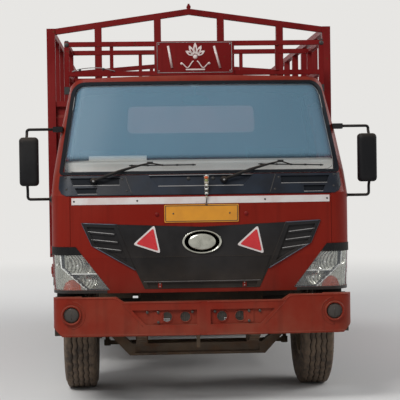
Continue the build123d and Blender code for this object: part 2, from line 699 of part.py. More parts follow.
def front_bumper():
    s = BUMPER_SHEET
    step = BUMPER_STEP_X
    outline = [(-BUMPER_HALF - 5, BUMPER_BOTTOM + 60), (-BUMPER_HALF + 60, BUMPER_BOTTOM),
               (BUMPER_HALF - 60, BUMPER_BOTTOM), (BUMPER_HALF + 5, BUMPER_BOTTOM + 60),
               (BUMPER_HALF + 5, BUMPER_TOP), (step + 26, BUMPER_TOP), (step - 26, BUMPER_MIDDLE_TOP),
               (26 - step, BUMPER_MIDDLE_TOP), (-step - 26, BUMPER_TOP), (-BUMPER_HALF - 5, BUMPER_TOP)]
    inner = [(-BUMPER_HALF, BUMPER_BOTTOM + 60 + s), (-BUMPER_HALF + 62, BUMPER_BOTTOM + s),
             (BUMPER_HALF - 62, BUMPER_BOTTOM + s), (BUMPER_HALF, BUMPER_BOTTOM + 60 + s),
             (BUMPER_HALF, BUMPER_TOP - s), (step + 28, BUMPER_TOP - s), (step - 24, BUMPER_MIDDLE_TOP - s),
             (24 - step, BUMPER_MIDDLE_TOP - s), (-step - 28, BUMPER_TOP - s),
             (-BUMPER_HALF, BUMPER_TOP - s)]
    y0 = at(-10)
    solid = bumper_plan(0, BUMPER_BOTTOM, BUMPER_TOP) & front_prism(outline, y0, at(BUMPER_RETURN))
    hollow = bumper_plan(s, BUMPER_BOTTOM, BUMPER_TOP) & front_prism(inner, y0, at(BUMPER_RETURN + 10))
    solid -= hollow
    middle = BUMPER_HALF - 190
    rear = at(BUMPER_RETURN + 10)
    solid -= block(-middle, middle, at(BUMPER_DEPTH), rear, BUMPER_BOTTOM - 1, BUMPER_TOP + 1)
    # Sunk pockets on both sides of the middle, each with two round grilles
    for side in (-1, 1):
        pocket = [(side * 46, 655), (side * 475, 655), (side * 381, 555), (side * 46, 555)]
        if side < 0:
            pocket = pocket[::-1]
        cut = front_prism(pocket, at(-5), at(POCKET_DEPTH))
        back = front_prism(pocket, at(POCKET_DEPTH), at(POCKET_DEPTH + s))
        solid += back & bumper_plan(s, BUMPER_BOTTOM, BUMPER_TOP)
        rim = [(side * 38, 663), (side * 489, 663), (side * 389, 547), (side * 38, 547)]
        if side < 0:
            rim = rim[::-1]
        tray = front_prism(rim, at(4), at(POCKET_DEPTH + s)) & bumper_plan(1, BUMPER_BOTTOM, BUMPER_TOP)
        solid += tray
        solid -= cut
        for x in (122, 244):
            solid -= rod_y(side * x, at(-5), at(60), 608, 34)
        solid -= rod_y(side * FOG_X, at(-5), at(120), FOG_Z, FOG_RADIUS + 14)
        cup = rod_y(side * FOG_X, at(14), at(60), FOG_Z, FOG_RADIUS + 22)
        cup -= rod_y(side * FOG_X, at(10), at(52), FOG_Z, FOG_RADIUS + 14)
        solid += cup & bumper_plan(2, BUMPER_BOTTOM, BUMPER_TOP)
        solid += rod_y(side * FOG_X, at(26), at(53), FOG_Z, FOG_RADIUS)
    add("front_bumper", solid)


# Cab body
def plan_section(z, half, depth, radius, inset):
    w = half - inset
    y = at(depth) + inset
    back = at(CAB_BACK_DEPTH) - inset
    arc = ThreePointArc((-w, y + CAB_BOW, z), (0, y, z), (w, y + CAB_BOW, z))
    face = make_face([arc, Line((w, y + CAB_BOW, z), (w, back, z)), Line((w, back, z), (-w, back, z)),
                      Line((-w, back, z), (-w, y + CAB_BOW, z))])
    face = fillet(face.vertices().sort_by(Axis.Y)[:2], max(radius - inset, 30))
    return fillet(face.vertices().sort_by(Axis.Y)[-2:], max(CAB_BACK_RADIUS - inset, 12))


forms = {}


def cab_form(inset, shaped=True):
    if (inset, shaped) not in forms:
        forms[(inset, shaped)] = make_form(inset, shaped)
    return forms[(inset, shaped)]


def make_form(inset, shaped):
    form = loft([plan_section(z, w, d, r, inset) for z, w, d, r in CAB_SECTIONS], ruled=True)
    if not shaped:
        return form
    # The crown of the roof and its shoulders, as the front sees them
    low = CAB_SECTIONS[0][0] - 50
    edge = ROOF_EDGE - inset
    top = ROOF_TOP - inset
    clear = 3.0
    lean_low = CAB_SECTIONS[4]
    lean_high = CAB_SECTIONS[6]
    slope = (lean_low[1] - lean_high[1]) / (lean_high[0] - lean_low[0])
    side_low = lean_low[1] - inset + clear
    side_top = side_low - slope * (edge - lean_low[0])
    crown = ThreePointArc((-side_top, 0, edge), (0, 0, top), (side_top, 0, edge))
    wide = CAB_SECTIONS[2][1] + 40
    lines = [crown, Line((side_top, 0, edge), (side_low, 0, lean_low[0])),
             Line((side_low, 0, lean_low[0]), (wide, 0, lean_low[0] - 250)),
             Line((wide, 0, lean_low[0] - 250), (wide, 0, low)), Line((wide, 0, low), (-wide, 0, low)),
             Line((-wide, 0, low), (-wide, 0, lean_low[0] - 250)),
             Line((-wide, 0, lean_low[0] - 250), (-side_low, 0, lean_low[0])),
             Line((-side_low, 0, lean_low[0]), (-side_top, 0, edge))]
    face = make_face(lines)
    face = fillet(face.vertices().sort_by(Axis.Z)[-2:], max(ROOF_SHOULDER - inset, 40))
    form &= Pos(0, at(-50), 0) * extrude(face, amount=CAB_BACK_DEPTH + 100, dir=(0, 1, 0))
    # The roof from the side, rounded over the windscreen and at the back
    front_low = lean_low[2] + inset - clear
    front_top = lean_high[2] + inset - clear
    outline = [(-60, low), (-60, lean_low[0] - 260), (front_low, lean_low[0]), (front_top, top + 20),
               (CAB_BACK_DEPTH - inset + clear, top + 20), (CAB_BACK_DEPTH - inset + clear, low)]
    wire = Polyline(*[(-1100, at(d), z) for d, z in outline], close=True)
    face = make_face(wire)
    high = face.vertices().group_by(Axis.Z)[-1].sort_by(Axis.Y)
    face = fillet(high[0], max(120 - inset, 40))
    high = face.vertices().sort_by(Axis.Y)
    corner = [v for v in high if v.Z > top][-1]
    face = fillet(corner, max(90 - inset, 30))
    return form & extrude(face, amount=2200, dir=(1, 0, 0))


def layer(outer, inner, prism):
    return (outer & prism) - inner


def trapezoid(bottom_half, top_half, z0, z1):
    return [(-bottom_half, z0), (bottom_half, z0), (top_half, z1), (-top_half, z1)]


def screen_prism(grow):
    # The windscreen's outline seen from the front. The seal is narrower above and below than at the sides.
    low = SCREEN_BOTTOM - 0.7 * grow
    high = SCREEN_TOP + 0.7 * grow
    face = front_face(trapezoid(SCREEN_HALF_BOTTOM + grow, SCREEN_HALF_TOP + grow, low, high))
    face = fillet(face.vertices().sort_by(Axis.Z)[-2:], SCREEN_CORNER + grow)
    face = fillet(face.vertices().sort_by(Axis.Z)[:2], max(SCREEN_FOOT + grow, 8))
    prism = Pos(0, at(-20), 0) * extrude(face, amount=700, dir=(0, 1, 0))
    # It ends behind the rounded corners of the cab, so that the door posts keep their thickness
    reach = [(-30, 1400), (265 + grow, 1400), (652 + grow, 2300), (-30, 2300)]
    return prism & side_prism(reach, -1100, 1100)


def door_outline(grow):
    lean = 0.25
    back = 1.4 * grow
    return [(DOOR_FRONT - grow, DOOR_BOTTOM - grow), (DOOR_FRONT + 158 + back, DOOR_BOTTOM - grow),
            (DOOR_FRONT + 250 + back, DOOR_STEP_BOTTOM - grow), (DOOR_REAR + grow, DOOR_STEP_BOTTOM - grow),
            (DOOR_REAR + grow, DOOR_TOP + grow), (DOOR_FRONT + 158 - grow, DOOR_TOP + grow),
            (DOOR_FRONT - grow, DOOR_TOP - 158 / lean + 10)]


def window_outline(grow):
    return [(DOOR_FRONT + 92 - grow, 1440 - grow), (DOOR_REAR - 84 + grow, 1440 - grow),
            (DOOR_REAR - 84 + grow, DOOR_TOP - 66 + grow), (DOOR_FRONT + 218 - grow, DOOR_TOP - 66 + grow),
            (DOOR_FRONT + 92 - grow, 1570)]


def grille_outline(grow):
    g = grow
    right = [(0, 1200 + g), (560, 1222 + g), (806 + g, 1234 + g), (738 + g, 1082), (446 + g, 913),
             (388 + g, 787 - g), (0, 787 - g)]
    left = [(-x, z) for x, z in right[::-1]][1:-1]
    return right + left


def lamp_outline(side, grow, top):
    out = 1060.0
    lean = (LAMP_INNER_TOP - LAMP_INNER_BOTTOM) / (LAMP_TOP - LAMP_BOTTOM)
    inner_top = LAMP_INNER_TOP + lean * (top - LAMP_TOP)
    points = [(LAMP_INNER_BOTTOM - grow, LAMP_BOTTOM - grow), (out, LAMP_BOTTOM - grow), (out, top + grow),
              (inner_top - grow, top + grow)]
    return [(side * x, z) for x, z in points][::side]


def cab():
    outer = cab_form(0)
    wall = cab_form(CAB_WALL)
    skin = cab_form(SKIN, False)
    behind = cab_form(SKIN + FIT, False)
    bottom = CAB_SECTIONS[0][0]
    wide = 1100.0
    back = at(CAB_BACK_DEPTH)

    shell = outer - wall
    shell -= block(-TUNNEL_HALF, TUNNEL_HALF, at(TUNNEL_FRONT_DEPTH), back + 5, bottom - 1, TUNNEL_TOP)
    # Wheel arches
    axle_y = at(FRONT_AXLE_DEPTH)
    arch = rod_x(-wide, wide, axle_y, TYRE_RADIUS, ARCH_RADIUS)
    shell -= arch & block(-wide, wide, FRONT, back, bottom - 5, CAB_FLOOR_BOTTOM)
    shell -= block(-wide, wide, at(CAB_BACK_DEPTH - 290), back + 5, bottom - 5, CAB_FLOOR_BOTTOM - 45)
    # Windscreen and rear window
    shell -= screen_prism(0)
    rear = trapezoid(500, 490, 1880, 2090)
    shell -= front_prism(rear, at(CAB_BACK_DEPTH - 80), at(CAB_BACK_DEPTH + 20), 40)
    screen_glass = layer(cab_form(12, False), cab_form(12 + GLASS, False), screen_prism(-FIT - 8))
    seal = layer(cab_form(-5, False), cab_form(24, False), screen_prism(-FIT))
    seal -= screen_prism(-SEAL_WIDTH)
    seal -= screen_glass
    back_y = at(CAB_BACK_DEPTH)
    rear_hole = trapezoid(500 - FIT, 490 - FIT, 1880 + FIT, 2090 - FIT)
    rear_glass = front_prism(rear_hole, back_y - 30, back_y - 24, 40)
    add("windscreen_glass", screen_glass)
    add("windscreen_seal", seal)
    add("rear_window_glass", rear_glass)

    # The dark vent panel under the windscreen
    near = at(500)
    g = PANEL_GAP / 2
    cowl_half = [(COWL_HALF - 52, COWL_BOTTOM), (COWL_HALF - 18, COWL_BOTTOM + 16),
                 (COWL_HALF, COWL_BOTTOM + 52), (COWL_HALF - 6, COWL_TOP)]
    cowl_points = [(-x, z) for x, z in cowl_half[::-1]] + cowl_half
    cowl_prism = front_prism(cowl_points, at(-20), near)
    cowl = layer(cab_form(-3, False), skin, cowl_prism)
    recess = front_prism(trapezoid(290, 350, 1478, 1544), at(-20), near)
    for z0, z1, inner, outer_low, outer_high in COWL_VENTS:
        vent = [(inner, z0), (outer_low, z0), (outer_high, z1), (inner, z1)]
        recess += both_sides(front_prism(vent, at(-20), near))
    for pivot in WIPER_PIVOTS:
        recess -= rod_y(pivot, at(-30), near + 10, WIPER_PIVOT_Z, WIPER_BOSS + 6)
    cowl -= layer(cab_form(-3, False), cab_form(8, False), recess)
    seat = front_prism([(x * (1 + FIT / COWL_HALF), z) for x, z in cowl_points], at(-20), near)
    shell -= layer(cab_form(-3, False), behind, seat)
    add("cowl_panel", cowl)

    # The outer panel of the front and the grille in it
    panel_bottom = bottom - 4
    panel_prism = front_prism([(-PANEL_HALF, panel_bottom), (PANEL_HALF, panel_bottom),
                               (PANEL_HALF, PANEL_TOP), (-PANEL_HALF, PANEL_TOP)], at(-20), near)
    panel_seat = front_prism([(-PANEL_HALF - g, panel_bottom), (PANEL_HALF + g, panel_bottom),
                              (PANEL_HALF + g, COWL_BOTTOM + 1), (-PANEL_HALF - g, COWL_BOTTOM + 1)],
                             at(-20), near)
    panel = layer(outer, skin, panel_prism)
    shell -= layer(outer, behind, panel_seat)
    grille_deep = cab_form(16, False)
    grille_seat = cab_form(16 + FIT, False)
    grille_cut = front_prism(grille_outline(FIT), at(-20), near)
    grille_prism = front_prism(grille_outline(0), at(-20), near)
    panel -= layer(outer, grille_seat, grille_cut)
    proud = cab_form(-GRILLE_PROUD, False)
    plain = cab_form(-2, False)
    grille = layer(plain, grille_deep, grille_prism)
    middle = front_prism(trapezoid(404, 462, 838, 1000), at(-20), near)
    grille += layer(cab_form(-5, False), grille_deep, middle)
    # Each wing is a raised frame round a sunk field with slanted bars
    grille += layer(proud, grille_deep, both_sides(front_prism(WING_FRAME, at(-20), near))) & grille_prism
    grille -= layer(proud, cab_form(3, False), both_sides(front_prism(WING_FIELD, at(-20), near)))
    bars = None
    for x0, z0, x1, z1 in WING_BARS:
        outline = [(x0, z0 - 16), (x1, z1 - 16), (x1 + 6, z1), (x0 - 6, z0)]
        bar = both_sides(front_prism(outline, at(-20), near))
        bars = bar if bars is None else bars + bar
    grille += layer(plain, grille_deep, bars) & grille_prism
    low_slot = trapezoid(360, 372, 792, 826)
    grille -= layer(proud, cab_form(9, False), front_prism(low_slot, at(-20), near))

    # Headlamps, each with a clear lens over a bowl
    lens_skin = cab_form(-4, False)
    lens_back = cab_form(3, False)
    bowl_front = cab_form(3 + FIT, False)
    lamp_back = at(330)
    bowls = []
    lenses = []
    for side in (-1, 1):
        lens_prism = front_prism(lamp_outline(side, 0, LAMP_TOP), at(-20), lamp_back)
        cap_prism = front_prism(lamp_outline(side, 0, LAMP_CAP_TOP), at(-20), lamp_back)
        seat_prism = front_prism(lamp_outline(side, FIT, LAMP_CAP_TOP), at(-20), lamp_back + FIT)
        bulk = cab_form(LAMP_DEEP, False)
        lens = layer(lens_skin, lens_back, lens_prism)
        cap = layer(lens_skin, cab_form(CAB_WALL, False), cap_prism)
        cap -= front_prism(lamp_outline(side, FIT, LAMP_TOP), at(-20), lamp_back)
        bowl = layer(bowl_front, cab_form(CAB_WALL, False), lens_prism)
        for x, z, radius in LAMP_CUPS:
            bowl -= Pos(side * x, at(150), z) * Rot(90, 0, 0) * Cone(radius * 0.45, radius, 120)
        shell -= (lens_skin & seat_prism) - bulk
        panel -= lens_skin & seat_prism
        lenses.append(lens)
        bowls.append(bowl + cap)
    grille -= both_sides(front_prism(lamp_outline(1, FIT, LAMP_CAP_TOP), at(-20), lamp_back))
    add("headlamp_lenses", *lenses)
    add("headlamp_bowls", *bowls)
    add("grille", grille)
    add("front_panel", panel)

    # Doors, cut out of the whole wall
    door_wall = outer - wall
    glass_outer = cab_form(16, False)
    glass_inner = cab_form(16 + 5, False)
    for side, word in ((1, "left"), (-1, "right")):
        x0, x1 = (800, 1080) if side > 0 else (-1080, -800)
        door = door_wall & side_prism(door_outline(0), x0, x1, 24)
        door -= side_prism(window_outline(0), x0, x1, 40)
        # The rear edge is trimmed by the circle that it swings on
        door &= rod_z(side * HINGE_X, at(HINGE_DEPTH), DOOR_BOTTOM - 10, DOOR_TOP + 100,
                      DOOR_REAR + DOOR_GAP - SWING_CLEAR - HINGE_DEPTH)
        hole = side_prism(door_outline(DOOR_GAP), x0, x1, 30)
        shell -= hole & door_wall
        glass = layer(glass_outer, glass_inner, side_prism(window_outline(-FIT), x0, x1, 40))
        for z in HINGE_HEIGHTS:
            pocket = rod_z(side * HINGE_X, at(HINGE_DEPTH), z - 46, z + 46, HINGE_BARREL + 6)
            shell -= pocket
            door -= pocket
            door += rod_z(side * HINGE_X, at(HINGE_DEPTH), z - 25, z + 25, HINGE_BARREL)
            leaf = block(side * (HINGE_X - 3), side * (HINGE_X - 14), at(HINGE_DEPTH), at(DOOR_FRONT + 40),
                         z - 25, z + 25)
            door += leaf
            door -= rod_z(side * HINGE_X, at(HINGE_DEPTH), z - 26, z + 26, HINGE_PIN + FIT)
            shell += rod_z(side * HINGE_X, at(HINGE_DEPTH), z - 44, z + 44, HINGE_PIN)
            for z0, z1 in ((z - 44, z - 26), (z + 26, z + 44)):
                ear = block(side * (HINGE_X + 6), side * (HINGE_X - 40), at(HINGE_DEPTH - 44),
                            at(HINGE_DEPTH + 7), z0, z1)
                shell += ear
        add("door_" + word, door)
        add("door_" + word + "_glass", glass)
    add("cab_shell", shell)


# Inside the cab
def cab_floor():
    # The floor plates, the engine cover between the seats, the seat boxes and the lugs that the cab tilts on
    inside = cab_form(CAB_WALL + FIT, False)
    wide = CAB_SECTIONS[2][1]
    back = at(CAB_BACK_DEPTH)
    top = CAB_FLOOR_BOTTOM + CAB_FLOOR
    cover_half = TUNNEL_HALF + TUNNEL_WALL
    cover_y = at(TUNNEL_FRONT_DEPTH - TUNNEL_WALL)
    lid = block(-cover_half, cover_half, cover_y, back, TUNNEL_TOP, TUNNEL_TOP + TUNNEL_WALL)
    lid = fillet(lid.edges().filter_by(Axis.Y).group_by(Axis.Z)[-1], TUNNEL_WALL - 4)
    pieces = [block(-wide, wide, FRONT, cover_y, CAB_FLOOR_BOTTOM, top), lid,
              block(-cover_half, cover_half, cover_y, cover_y + TUNNEL_WALL, CAB_FLOOR_BOTTOM, TUNNEL_TOP)]
    for side in (-1, 1):
        pieces.append(block(side * cover_half, side * wide, cover_y, back, CAB_FLOOR_BOTTOM, top))
        pieces.append(block(side * TUNNEL_HALF, side * cover_half, cover_y + TUNNEL_WALL, back,
                            CAB_FLOOR_BOTTOM, TUNNEL_TOP))
        x0 = side * (cover_half + 40)
        pieces.append(block(x0, x0 + side * 440, at(SEAT_FRONT + 40), at(SEAT_FRONT + 620), top, SEAT_Z))
    pieces = [piece & inside for piece in pieces]
    for side in (-1, 1):
        x0 = side * 290
        x1 = side * 250
        lug = rod_x(x0, x1, at(TILT_DEPTH), TILT_HEIGHT, TILT_TUBE + 20)
        lug += block(x0, x1, at(TILT_DEPTH) - 30, at(TILT_DEPTH) + 42, TILT_HEIGHT, CAB_FLOOR_BOTTOM)
        lug -= rod_x(x0 + side, x1 - side, at(TILT_DEPTH), TILT_HEIGHT, TILT_TUBE + FIT)
        pieces.append(lug)
    add("cab_floor", *pieces)


def dashboard():
    outline = [(330, 1300), (560, 1290), (640, 1420), (600, 1590), (490, 1660), (345, 1645)]
    dash = side_prism(outline, -DASH_HALF, DASH_HALF, 20)
    hood = [(410, 1590), (540, 1570), (548, 1650), (520, 1690), (440, 1690)]
    dash += side_prism(hood, -760, -360, 16)
    # Ends that meet the cab in front of the doors
    dash += block(-1000, 1000, at(335), at(DOOR_FRONT - DOOR_GAP - 4), 1310, 1560)
    dash &= cab_form(CAB_WALL + FIT, False)
    dash -= wheel_place() * Pos(0, 0, -COLUMN_LENGTH / 2) * Cylinder(COLUMN_RADIUS + FIT, COLUMN_LENGTH)
    add("dashboard", dash)


def wheel_place():
    return Pos(WHEEL_X, at(WHEEL_DEPTH), WHEEL_Z) * Rot(-WHEEL_LEAN, 0, 0)


def steering_wheel():
    place = wheel_place()
    rim = revolve(Plane.XZ * Pos(WHEEL_RADIUS, 0, 0) * RegularPolygon(WHEEL_GRIP, 8), Axis.Z)
    hub = Cylinder(55, 44)
    spokes = None
    for k in range(4):
        spoke = Rot(0, 0, 45 + 90 * k) * Pos(WHEEL_RADIUS / 2, 0, 0) * Box(WHEEL_RADIUS, 26, 12)
        spokes = spoke if spokes is None else spokes + spoke
    column = Pos(0, 0, -COLUMN_LENGTH / 2) * Cylinder(COLUMN_RADIUS, COLUMN_LENGTH)
    wheel = place * (rim + hub + spokes + column)
    wheel &= block(-900, 0, at(330), at(1200), CAB_FLOOR_BOTTOM + CAB_FLOOR, 1800)
    add("steering_wheel", wheel)


def seats():
    for side, word in ((1, "passenger"), (-1, "driver")):
        x0 = side * (TUNNEL_HALF + TUNNEL_WALL + 12)
        x1 = side * 900
        cushion = block(x0, x1, at(SEAT_FRONT), at(SEAT_FRONT + 480), SEAT_Z + FIT, SEAT_Z + 130)
        cushion = fillet(cushion.edges(), 34)
        back = side_prism([(SEAT_FRONT + 490, SEAT_Z + FIT), (SEAT_FRONT + 610, SEAT_Z + FIT),
                           (SEAT_FRONT + 720, SEAT_Z + 660), (SEAT_FRONT + 630, SEAT_Z + 660)],
                          min(x0, x1), max(x0, x1), 30)
        add(word + "_seat", cushion, back)


def wipers():
    arms = None
    for pivot, tip_x in zip(WIPER_PIVOTS, WIPER_TIPS):
        proud = 26.0
        tip_z = 1622.0
        base = rod_y(pivot, at(120), at(230), WIPER_PIVOT_Z, WIPER_BOSS)
        arms = base if arms is None else arms + base
        arm = Polyline((pivot, 0, WIPER_PIVOT_Z - 8), (pivot, 0, WIPER_PIVOT_Z + 8),
                       (tip_x - 60, 0, tip_z + 8), (tip_x - 60, 0, tip_z - 4), close=True)
        bar = Pos(0, at(60), 0) * extrude(make_face(arm), amount=260, dir=(0, 1, 0))
        arms += layer(cab_form(-proud, False), cab_form(-proud + 10, False), bar)
        edge = [(tip_x - 290, 1602), (tip_x + 160, 1624), (tip_x + 160, 1634), (tip_x - 290, 1612)]
        blade = front_prism(edge, at(60), at(330))
        arms += layer(cab_form(-proud, False), cab_form(-6, False), blade)
    arms -= cab_form(-3 - FIT, False)
    add("wipers", *solids_of(arms))


def mirrors():
    head_w, head_d, head_h = MIRROR_HEAD
    y = at(MIRROR_DEPTH)
    head = Pos(MIRROR_X, y, MIRROR_Z) * fillet(Box(head_w, head_d, head_h).edges().filter_by(Axis.Y), 26)
    post_x = MIRROR_X + 14
    back_y = y + head_d / 2 + MIRROR_TUBE
    tube = rod_z(post_x, back_y, MIRROR_ARM_LOW, MIRROR_ARM_TOP, MIRROR_TUBE)
    for z, inner in ((MIRROR_ARM_TOP, PILLAR_X + 20), (MIRROR_ARM_LOW, 980.0)):
        tube += Pos(post_x, back_y, z) * Sphere(MIRROR_TUBE)
        tube += rod_x(inner, post_x, back_y, z, MIRROR_TUBE)
    # The bracket that takes the upper arm back to the door post
    tube += block(PILLAR_X, PILLAR_X + 2 * MIRROR_BRACKET, back_y - MIRROR_TUBE - 4, at(PILLAR_DEPTH),
                  MIRROR_ARM_TOP - MIRROR_BRACKET / 2, MIRROR_ARM_TOP + MIRROR_BRACKET / 2)
    tube -= cab_form(-FIT, False)
    tube += block(MIRROR_X - 20, MIRROR_OUT, y + head_d / 2 - 4, back_y + 6, MIRROR_Z - 24, MIRROR_Z + 24)
    add("mirrors", *side_pair(head + tube))


def wheel_arch_liners():
    y = at(FRONT_AXLE_DEPTH)
    z = TYRE_RADIUS
    ring_outer = rod_x(690, 1030, y, z, ARCH_RADIUS - FIT)
    lip = rod_x(984, 1036, y, z, ARCH_RADIUS + 26)
    liner = ring_outer - rod_x(680, 1040, y, z, ARCH_RADIUS - 10)
    flare = lip - rod_x(980, 1040, y, z, ARCH_RADIUS - 10)
    keep = block(680, 1050, at(540), at(CAB_BACK_DEPTH - 60), CAB_SECTIONS[0][0], CAB_FLOOR_BOTTOM - FIT)
    flare -= cab_form(-FIT, False)
    liners = (liner + flare) & keep
    liners -= side_prism(door_outline(ARCH_CLEAR), 940, 1060)
    add("wheel_arch_liners", *side_pair(liners))


# Rack on the roof
def roof_rack():
    t = RACK_TUBE
    y0 = at(RACK_FRONT_DEPTH)
    y1 = at(RACK_REAR_DEPTH)
    h = RACK_HALF
    rack = None
    for ya in (y0, y1 - t):
        for z in (RACK_BOTTOM, RACK_TOP - t):
            bar = block(-h, h, ya, ya + t, z, z + t)
            rack = bar if rack is None else rack + bar
        for x in (-h, h - t):
            rack += block(x, x + t, ya, ya + t, RACK_FOOT, RACK_TOP)
    for x in (-h, h - t):
        for z in (RACK_BOTTOM, RACK_TOP - t):
            rack += block(x, x + t, y0, y1, z, z + t)
    thin = t - 8
    for x in (-600, 600):
        rack += block(x - thin / 2, x + thin / 2, y0 + 4, y0 + t - 4, RACK_BOTTOM, RACK_TOP)
    for x in (-390, 390):
        rack += block(x - thin / 2, x + thin / 2, y1 - t + 4, y1 - 4, RACK_BOTTOM, RACK_TOP)
    rack += block(-SIGN_HALF, SIGN_HALF, y0 - 3, y0 + 3, RACK_BOTTOM, RACK_TOP)
    # Feet that clamp the gutters
    for side in (-1, 1):
        for ya in (y0, y1 - t):
            foot = block(side * h, side * (h - 96), ya - 8, ya + t + 8, RACK_FOOT - 6, RACK_FOOT + 34)
            foot -= cab_form(-FIT, False)
            rack += foot
    add("roof_rack", max(solids_of(rack), key=lambda s: s.volume))


# Cargo body
def cargo_floor():
    x = BODY_HALF - POST
    add("cargo_floor", block(-x, x, BODY_Y0 + POST, BODY_Y1 - POST, FLOOR_TOP - FLOOR_SHEET, FLOOR_TOP))
    bearers = []
    pitch = (BODY_LENGTH - 2 * POST - BEARER_WIDTH) / (BEARERS - 1)
    for k in range(BEARERS):
        y = BODY_Y0 + POST + k * pitch
        bearers.append(block(-x, x, y, y + BEARER_WIDTH, BODY_BOTTOM, FLOOR_TOP - FLOOR_SHEET))
    runner = block(RAIL_INNER, RAIL_OUTER, BODY_Y0 + 30, BODY_Y1 - 60, RAIL_TOP, BODY_BOTTOM)
    add("floor_bearers", *bearers, *side_pair(runner))


def gable(ridge, y0, y1):
    # The sloping top chord from each corner post to the ridge.
    inner = BODY_HALF - POST
    drop = TOP_RAIL
    top = [(-inner, POST_TOP), (0, ridge), (inner, POST_TOP), (inner, POST_TOP - drop), (0, ridge - drop),
           (-inner, POST_TOP - drop)]
    return front_prism(top[::-1], y0, y1)


def gable_z(ridge, x):
    inner = BODY_HALF - POST
    return POST_TOP + (ridge - POST_TOP) * (1 - abs(x) / inner)


def cargo_front_wall():
    y0 = BODY_Y0
    y1 = BODY_Y0 + POST
    wall = gable(RIDGE_TOP, y0 + 8, y0 + 8 + TOP_RAIL)
    for side in (-1, 1):
        wall += block(side * BODY_HALF, side * (BODY_HALF - POST), y0, y1, BODY_BOTTOM, POST_TOP)
        for x in FRONT_POSTS:
            xs = side * x
            wall += block(xs - MID_POST / 2, xs + MID_POST / 2, y0 + 6, y0 + 6 + MID_POST, BODY_BOTTOM,
                          gable_z(RIDGE_TOP, x) - TOP_RAIL / 2)
    h = BODY_HALF - POST
    wall += block(-h, h, y0 + 4, y1 - 4, BODY_BOTTOM, BODY_BOTTOM + BODY_RAIL)
    wall += block(-h, h, y0 + 10, y0 + 10 + 40, WALL_TOP - 40, WALL_TOP)
    # Sheet with pressed ribs, behind the posts
    wall += front_sheet(h, y1)
    # The nub on the ridge
    wall += rod_y(0, y0 + 14, y0 + 14 + 34, RIDGE_TOP + 14, 17)
    wall += block(-8, 8, y0 + 20, y0 + 42, RIDGE_TOP - 4, RIDGE_TOP + RIDGE_NUB)
    add("cargo_front_wall", wall)


def rib_profile(z0, z1, depth, thick):
    # A pressed sheet: flats with shallow steps outward, as offsets and heights.
    ribs = 4
    pitch = (z1 - z0) / ribs
    line = [(0, z0)]
    for k in range(ribs):
        base = z0 + k * pitch
        line += [(0, base + pitch * 0.30), (depth, base + pitch * 0.38), (depth, base + pitch * 0.62),
                 (0, base + pitch * 0.70)]
    line.append((0, z1))
    return line + [(off + thick, z) for off, z in line[::-1]]


def front_sheet(half, y1):
    points = rib_profile(BODY_BOTTOM + BODY_RAIL - 2, WALL_TOP - 20, -RIB, SHEET)
    wire = Polyline(*[(-half, y1 - 22 + off, z) for off, z in points], close=True)
    return extrude(make_face(wire), amount=2 * half, dir=(1, 0, 0))


def cargo_side():
    # A ribbed sheet inside a frame of rails, with posts that stand between the rails
    x1 = BODY_HALF
    x0 = BODY_HALF - POST
    y0 = BODY_Y0 + POST
    y1 = BODY_Y1 - POST
    low = BODY_BOTTOM + BODY_RAIL
    middle = WALL_TOP - MID_RAIL
    high = POST_TOP - TOP_RAIL
    points = rib_profile(low, middle, RIB, SHEET)
    wire = Polyline(*[(x0 + 8 + off, y0, z) for off, z in points], close=True)
    sheet = extrude(make_face(wire), amount=y1 - y0, dir=(0, 1, 0))
    bars = [block(x0, x1, y0, y1, BODY_BOTTOM, low), block(x0 + 10, x1 - 6, y0, y1, middle, WALL_TOP),
            block(x0 + 10, x1 - 6, y0, y1, high, POST_TOP)]
    pitch = (y1 - y0) / SIDE_BAYS
    half = MID_POST / 2
    for k in range(1, SIDE_BAYS):
        y = y0 + k * pitch
        bars.append(block(x0 + 8 + RIB + SHEET + FIT, x1 - 4, y - half, y + half, low, middle))
        bars.append(block(x0 + 6, x1 - 4, y - half, y + half, WALL_TOP, high))
    add("cargo_side_left", sheet)
    add("cargo_side_right", mirror(sheet, Plane.YZ))
    add("side_frame_left", *bars)
    add("side_frame_right", *[mirror(bar, Plane.YZ) for bar in bars])


def cargo_rear_frame():
    y1 = BODY_Y1
    y0 = BODY_Y1 - POST
    frame = gable(REAR_RIDGE_TOP, y1 - 8 - TOP_RAIL, y1 - 8)
    for side in (-1, 1):
        frame += block(side * BODY_HALF, side * (BODY_HALF - POST), y0, y1, BODY_BOTTOM, POST_TOP)
    h = BODY_HALF - POST
    frame += block(-h, h, y0 + 4, y1 - 7, BODY_BOTTOM, BODY_BOTTOM + BODY_RAIL - TAILGATE_LIFT)
    for x in HINGE_LUG_X:
        frame += rod_x(x - 40, x + 40, TAILGATE_Y, TAILGATE_PIN_Z, 9)
        for s in (-1, 1):
            ear = rod_x(x + s * 40, x + s * 52, TAILGATE_Y, TAILGATE_PIN_Z, 16)
            ear += block(x + s * 40, x + s * 52, y1 - 20, TAILGATE_Y + 4, BODY_BOTTOM + 30, TAILGATE_PIN_Z)
            frame += ear
    frame += block(-h, h, y0 + 10, y0 + 50, WALL_TOP - 40, WALL_TOP)
    for x in FRONT_POSTS:
        for side in (-1, 1):
            xs = side * x
            frame += block(xs - 20, xs + 20, y0 + 10, y0 + 50, WALL_TOP - 10,
                           gable_z(REAR_RIDGE_TOP, x) - TOP_RAIL / 2)
    add("cargo_rear_frame", frame)


